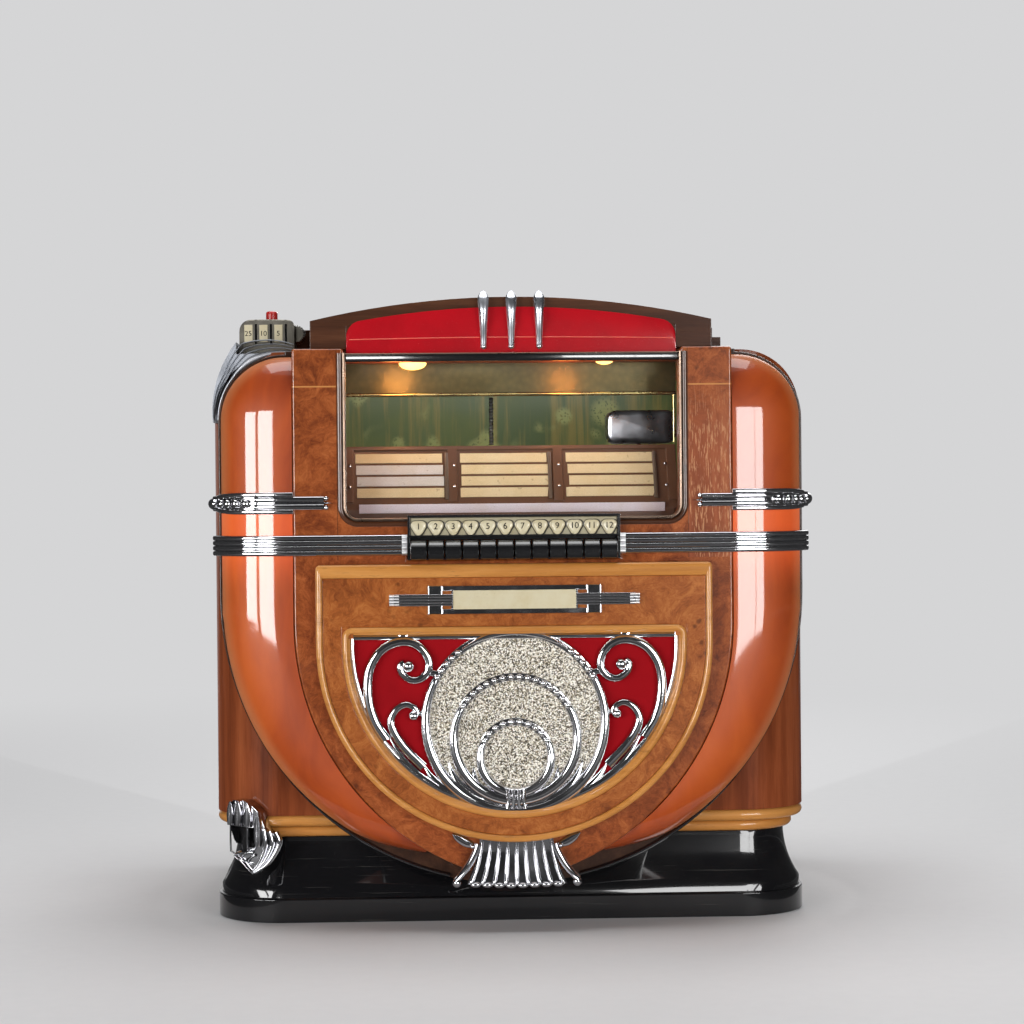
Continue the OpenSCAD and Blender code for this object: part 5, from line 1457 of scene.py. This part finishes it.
rods = Shape()
round_rod(rods, (-ROD_HALF, ROD_Y, ROD_Z), (ROD_HALF, ROD_Y, ROD_Z), 0.0017)
for x in (-0.1535, 0.1535):
    round_rod(rods, (x, ROD_Y, ROD_Z), (x, ROD_Y, ROD_LOW), 0.0011)
rods.build("rods", "cabinet", [brass], "trim_metal", (), 40)
post = Shape()
round_rod(post, (-0.0147, -0.050, ROD_LOW), (-0.0147, -0.050, 0.4855), 0.0019, 60, 0.3)
post.build("post", "cabinet", [steel], "steel", (), 40)
bulbs = Shape()
ball(bulbs, (-0.0895, -0.1375, 0.5146), 0.0128, 18, 24, (1, 0.8, 0.50))
ball(bulbs, (0.0880, -0.1375, 0.5178), 0.0094, 18, 24, (1, 0.9, 0.6))
bulbs.build("bulbs", "cabinet", [bulb_glow], "glass", (), 40)

# %% Title cards
CARD_Z, CARD_PITCH, CARDS_LOW = 0.3935, 0.0114, 0.3885
COLUMN_ENDS = (-0.055, 0.045)
WHITE_ROWS = (1, 2)
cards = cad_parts["card_strips"].data.copy()
cards.materials.clear()
hang("title_cards", cards, "cabinet", [card_cream, card_white, brown_panel], ["card_strips"])
centres = np.empty(3 * len(cards.polygons), np.float32)
cards.polygons.foreach_get("center", centres)
x, y, z = centres.reshape(-1, 3).astype(float).T
white = (x < COLUMN_ENDS[0]) & np.isin(np.round((z - CARD_Z) / CARD_PITCH), WHITE_ROWS)
cards.polygons.foreach_set("material_index", np.where(z < CARDS_LOW, 2, white).astype(np.int32))
slip = np.random.default_rng(5).uniform(-0.0016, 0.0016, (3, 4))


def slide_cards(places):
    """Every card above the strip slides sideways by its own small amount, found from its column and row."""
    column = (places[:, :1] > COLUMN_ENDS).sum(1)
    row = np.clip(np.round((places[:, 2] - CARD_Z) / CARD_PITCH), 0, 3).astype(int)
    places[:, 0] += slip[column, row] * (places[:, 2] > CARDS_LOW)
    return places


move_points(cards, slide_cards)

# %% Card holders, strip and pins
holders = Shape()
for x in (-0.0590, 0.0362, 0.1335):
    line = np.linspace((x, -0.1583, CARDS_LOW), (x, -0.1342, 0.4312), 12)
    clad_bar(holders, line, np.tile([0.0, -0.87, 0.49], (12, 1)), 0.0017, 0.0005, 0.0008, 10)
horn = moulded_plastic("horn", rgb(104, 88, 72), 0.3)
holders.build("card_holders", "cabinet", [horn], "brown_panel", (), 40)
softened("title_panel", brown_panel, 0.0006)
STRIP_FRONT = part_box("title_panel")[0].y - 0.0010
apron = Shape()
brick(apron, (-0.1395, STRIP_FRONT - 0.0006, 0.3764), (0.1410, STRIP_FRONT, 0.3846), 0.0002)
brick(apron, (-0.1500, STRIP_FRONT, 0.3660), (0.1500, STRIP_FRONT + 0.0030, 0.3800), 0.0006, 1)
apron.build("title_apron", "cabinet", [card_lilac, brown_panel], "card", (), 40)
pins = Shape()
for x in (-0.1480, -0.0520, 0.0445, 0.1435):
    for z, y in ((0.4005, -0.1515), (0.4200, -0.1405)):
        ball(pins, (x, y - 0.0012, z), 0.0017, 10, 14)
pins.build("title_pins", "cabinet", [chrome], "chrome", (), 60)

# %% Tone arm
softened("tone_arm", chrome, 0.0012, "arm", 3)
SHELL_X, SHELL_Z, SHELL_R = (0.0975, 0.1640), (0.4405, 0.4725), 0.009
corners = [(1, 1, 0), (0, 1, pi / 2), (0, 0, pi), (1, 0, 1.5 * pi)]
rows = []
for y, inset in ((-0.012, 0.0), (-0.041, 0.0), (-0.0445, 0.0012), (-0.0458, 0.0040)):
    turn = np.linspace(0, pi / 2, 10)
    arcs = [[SHELL_X[i] - (2 * i - 1) * SHELL_R, SHELL_Z[k] - (2 * k - 1) * SHELL_R]
            + (SHELL_R - inset) * turn_about(start + turn) for i, k, start in corners]
    rows.append(upright(np.concatenate(arcs), y))
shell = Shape()
shell.grid(np.array(rows))
shell.build("arm_shell", "arm", [fin_chrome], "chrome", (), 25)

# %% [markdown]
# ## Woodwork with rounded edges
# Sanded and lacquered wood has no sharp edges. The wooden solids are copied, their edges are rounded by a
# small bevel, and a dark strip of painted shade covers the board's edge below the pilasters.

# %% Woodwork
WOODWORK = (
    ("burl_front", front_burl, 0.0022, "cabinet"),
    ("grille_panel", panel_burl, 0.0008, "cabinet"),
    ("side_panel_left", walnut, 0.0006, "cabinet"),
    ("side_panel_right", walnut, 0.0006, "cabinet"),
    ("top_deck", walnut, 0.0012, "cabinet"),
    ("shield_board", dark_wood, 0.0012, "cabinet"),
    ("base_plinth", lacquer, 0.0012, "cabinet"),
    ("back_door", plywood, 0.0015, "door"),
    ("back_frame", plywood, 0.0012, "cabinet"),
)
for board in WOODWORK:
    softened(*board)
# painted shade: a black strip along the board's edge below the pilasters
strip = Shape()
for side in (-1, 1):
    angle = np.radians(np.linspace(-40, -77, 50))
    path = [0, BOARD_CZ] + (BOARD_HALF - 0.0022) * turn_about(angle)
    front_bar(strip, path * [side, 1], BOARD_Y, 0.0021, 0.0042)
strip.build("board_shade_strip", "cabinet", [black_plastic], "black_plastic", (), 50)

# %% [markdown]
# ## Floor and light
# A pale floor carries the shadow and fades into the pale room, which the world gives. Tall soft boxes in
# front draw the upright reflections on the pilasters, and each has a twin that only polished surfaces mirror.
# A broad box overhead fills the rest, and a dark cloth gives the chrome something to reflect.


# %% Floor
ROOM = rgb(213, 213, 214)
FLOOR_RADIUS = 7.0


def floor_finish():
    """Pale paint near the object, and plain room light further out, so that no horizon shows."""
    finish = Finish("floor", roughness=0.75)
    x, y, z = finish.axes()
    far = ((x ** 2 + y ** 2) ** 0.5).step(0.6, 2.6)
    grain = finish.noise(60, 3)
    finish.set(base_color=finish.mix(grain * 0.3, rgb(222, 222, 223), rgb(206, 206, 208)))
    glow = finish.node("Emission", sockets={"Color": ROOM, "Strength": 1.0})
    blend = finish.node("MixShader", sockets={0: far, 1: Wire(finish, finish.shader.outputs[0]), 2: glow})
    finish.tree.links.new(blend.socket, finish.tree.nodes["Material Output"].inputs["Surface"])
    return finish.material


turn = np.linspace(0, 2 * pi, 97)[:-1]
floor_mesh = bpy.data.meshes.new("floor")
rim = np.stack([FLOOR_RADIUS * np.cos(turn), FLOOR_RADIUS * np.sin(turn), 0 * turn], 1)
floor_mesh.from_pydata(rim.tolist(), [], [list(range(len(turn)))])
floor_mesh.materials.append(floor_finish())
floor = bpy.data.objects.new("floor", floor_mesh)
scene.collection.objects.link(floor)
print("floor radius:", FLOOR_RADIUS)

# %% Room, lamps and dark cloth
FILL = 0.40
CLOTH_NEAR, CLOTH_Z = 0.34, 0.004


def room_light():
    """The room is plain pale grey to the camera, to metal and to glass, and a soft fill to the rest."""
    world = bpy.data.worlds.new("room")
    scene.world = world
    world.use_nodes = True
    tree = world.node_tree
    ground = tree.nodes["Background"]
    ground.inputs["Color"].default_value = (*ROOM, 1)
    path = tree.nodes.new("ShaderNodeLightPath")
    level = tree.nodes.new("ShaderNodeMapRange")
    level.inputs["To Min"].default_value = FILL
    level.inputs["To Max"].default_value = 1.0
    seen = path.outputs["Is Camera Ray"]
    for kind in ("Is Glossy Ray", "Is Transmission Ray"):
        either = tree.nodes.new("ShaderNodeMath")
        either.operation = "MAXIMUM"
        tree.links.new(seen, either.inputs[0])
        tree.links.new(path.outputs[kind], either.inputs[1])
        seen = either.outputs[0]
    tree.links.new(seen, level.inputs["Value"])
    tree.links.new(level.outputs[0], ground.inputs["Strength"])


def soft_box(name, at, aim, width, height, power):
    """A flat lamp that faces a point and that the camera doesn't see."""
    lamp = bpy.data.lights.new(name, "AREA")
    lamp.shape = "RECTANGLE"
    lamp.size = width
    lamp.size_y = height
    lamp.energy = power
    box = bpy.data.objects.new(name, lamp)
    box.location = at
    box.rotation_euler = (Vector(aim) - Vector(at)).to_track_quat("-Z", "Y").to_euler()
    box.visible_camera = False
    scene.collection.objects.link(box)
    return box


def bulb_light(name, at, colour, power):
    """A small warm lamp, for the light that a bulb gives to what is near it."""
    lamp = bpy.data.lights.new(name, "POINT")
    lamp.color = colour
    lamp.energy = power
    lamp.shadow_soft_size = 0.014
    spot = bpy.data.objects.new(name, lamp)
    spot.location = at
    spot.visible_camera = False
    scene.collection.objects.link(spot)


def dark_card(radius=3.4, top=62):
    """A dark curved cloth round the front of the studio, which the chrome and the lacquer mirror."""
    finish = Finish("card", roughness=0.9)
    weave = finish.noise(40, 2)
    finish.set(base_color=finish.mix(weave, (0.03, 0.03, 0.031), (0.045, 0.045, 0.046)))
    turn = np.radians(np.linspace(118, 422, 81))
    tilt = np.radians(np.linspace(0.3, top, 12))[:, None]
    rows = np.stack([np.cos(tilt) * np.cos(turn), np.cos(tilt) * np.sin(turn), np.sin(tilt) + 0 * turn], -1)
    count = len(turn)
    faces = [[r * count + k, r * count + k + 1, (r + 1) * count + k + 1, (r + 1) * count + k]
             for r in range(11) for k in range(count - 1)]
    mesh = bpy.data.meshes.new("card")
    mesh.from_pydata((radius * rows).reshape(-1, 3).tolist(), [], faces)
    mesh.materials.append(finish.material)
    card = bpy.data.objects.new("card", mesh)
    card.visible_camera = False
    scene.collection.objects.link(card)
    round_floor = np.stack([np.cos(turn), np.sin(turn), 0 * turn], 1)
    rings = [reach * round_floor + [0, 0, CLOTH_Z] for reach in (CLOTH_NEAR, radius)]
    mesh = bpy.data.meshes.new("floor_cloth")
    faces = [[k, k + 1, count + k + 1, count + k] for k in range(count - 1)]
    mesh.from_pydata(np.concatenate(rings).tolist(), [], faces)
    mesh.materials.append(finish.material)
    cloth = bpy.data.objects.new("floor_cloth", mesh)
    cloth.visible_camera = False
    cloth.visible_diffuse = False
    cloth.visible_shadow = False
    scene.collection.objects.link(cloth)


room_light()
dark_card()
print("fill:", FILL)

# %% Light the scene
SHINE = 1.1
LAMPS = [
    ("left_box_outer", (-2.45, -2.1, 0.50), (-0.2, -0.2, 0.30), 0.78, 1.0, 22),
    ("left_box_inner", (-1.55, -2.5, 0.50), (-0.2, -0.2, 0.30), 0.78, 1.0, 22),
    ("right_box_inner", (1.15, -2.7, 0.50), (0.2, -0.2, 0.30), 0.88, 1.0, 20),
    ("right_box_outer", (1.79, -2.45, 0.50), (0.2, -0.2, 0.30), 0.44, 1.0, 10),
    ("overhead", (0.0, 0.1, 2.8), (0.0, 0.0, 0.3), 2.4, 1.8, 54),
    ("back_fill", (0.6, 2.6, 1.5), (0.0, 0.0, 0.3), 1.6, 1.2, 22),
    ("title_lamp", (0.0, -0.172, 0.512), (0.0, -0.142, 0.405), 0.28, 0.012, 0.05),
    ("backdrop_lamp", (0.0, 0.02, 0.505), (0.0, 0.205, 0.455), 0.34, 0.03, 0.20),
]
for lamp in LAMPS:
    soft_box(*lamp)
for name, at, aim, width, height, power in LAMPS[:4]:
    nearer = Vector(at).lerp(Vector(aim), 0.01)
    soft_box(name + "_shine", nearer, aim, width, height, SHINE * power).visible_diffuse = False
bulb_light("bulb_left", (-0.104, -0.1600, 0.4990), (1.0, 0.42, 0.12), 0.10)
bulb_light("bulb_right", (0.0505, -0.1560, 0.4980), (1.0, 0.34, 0.07), 0.075)
print("soft boxes:", [lamp[0] for lamp in LAMPS])
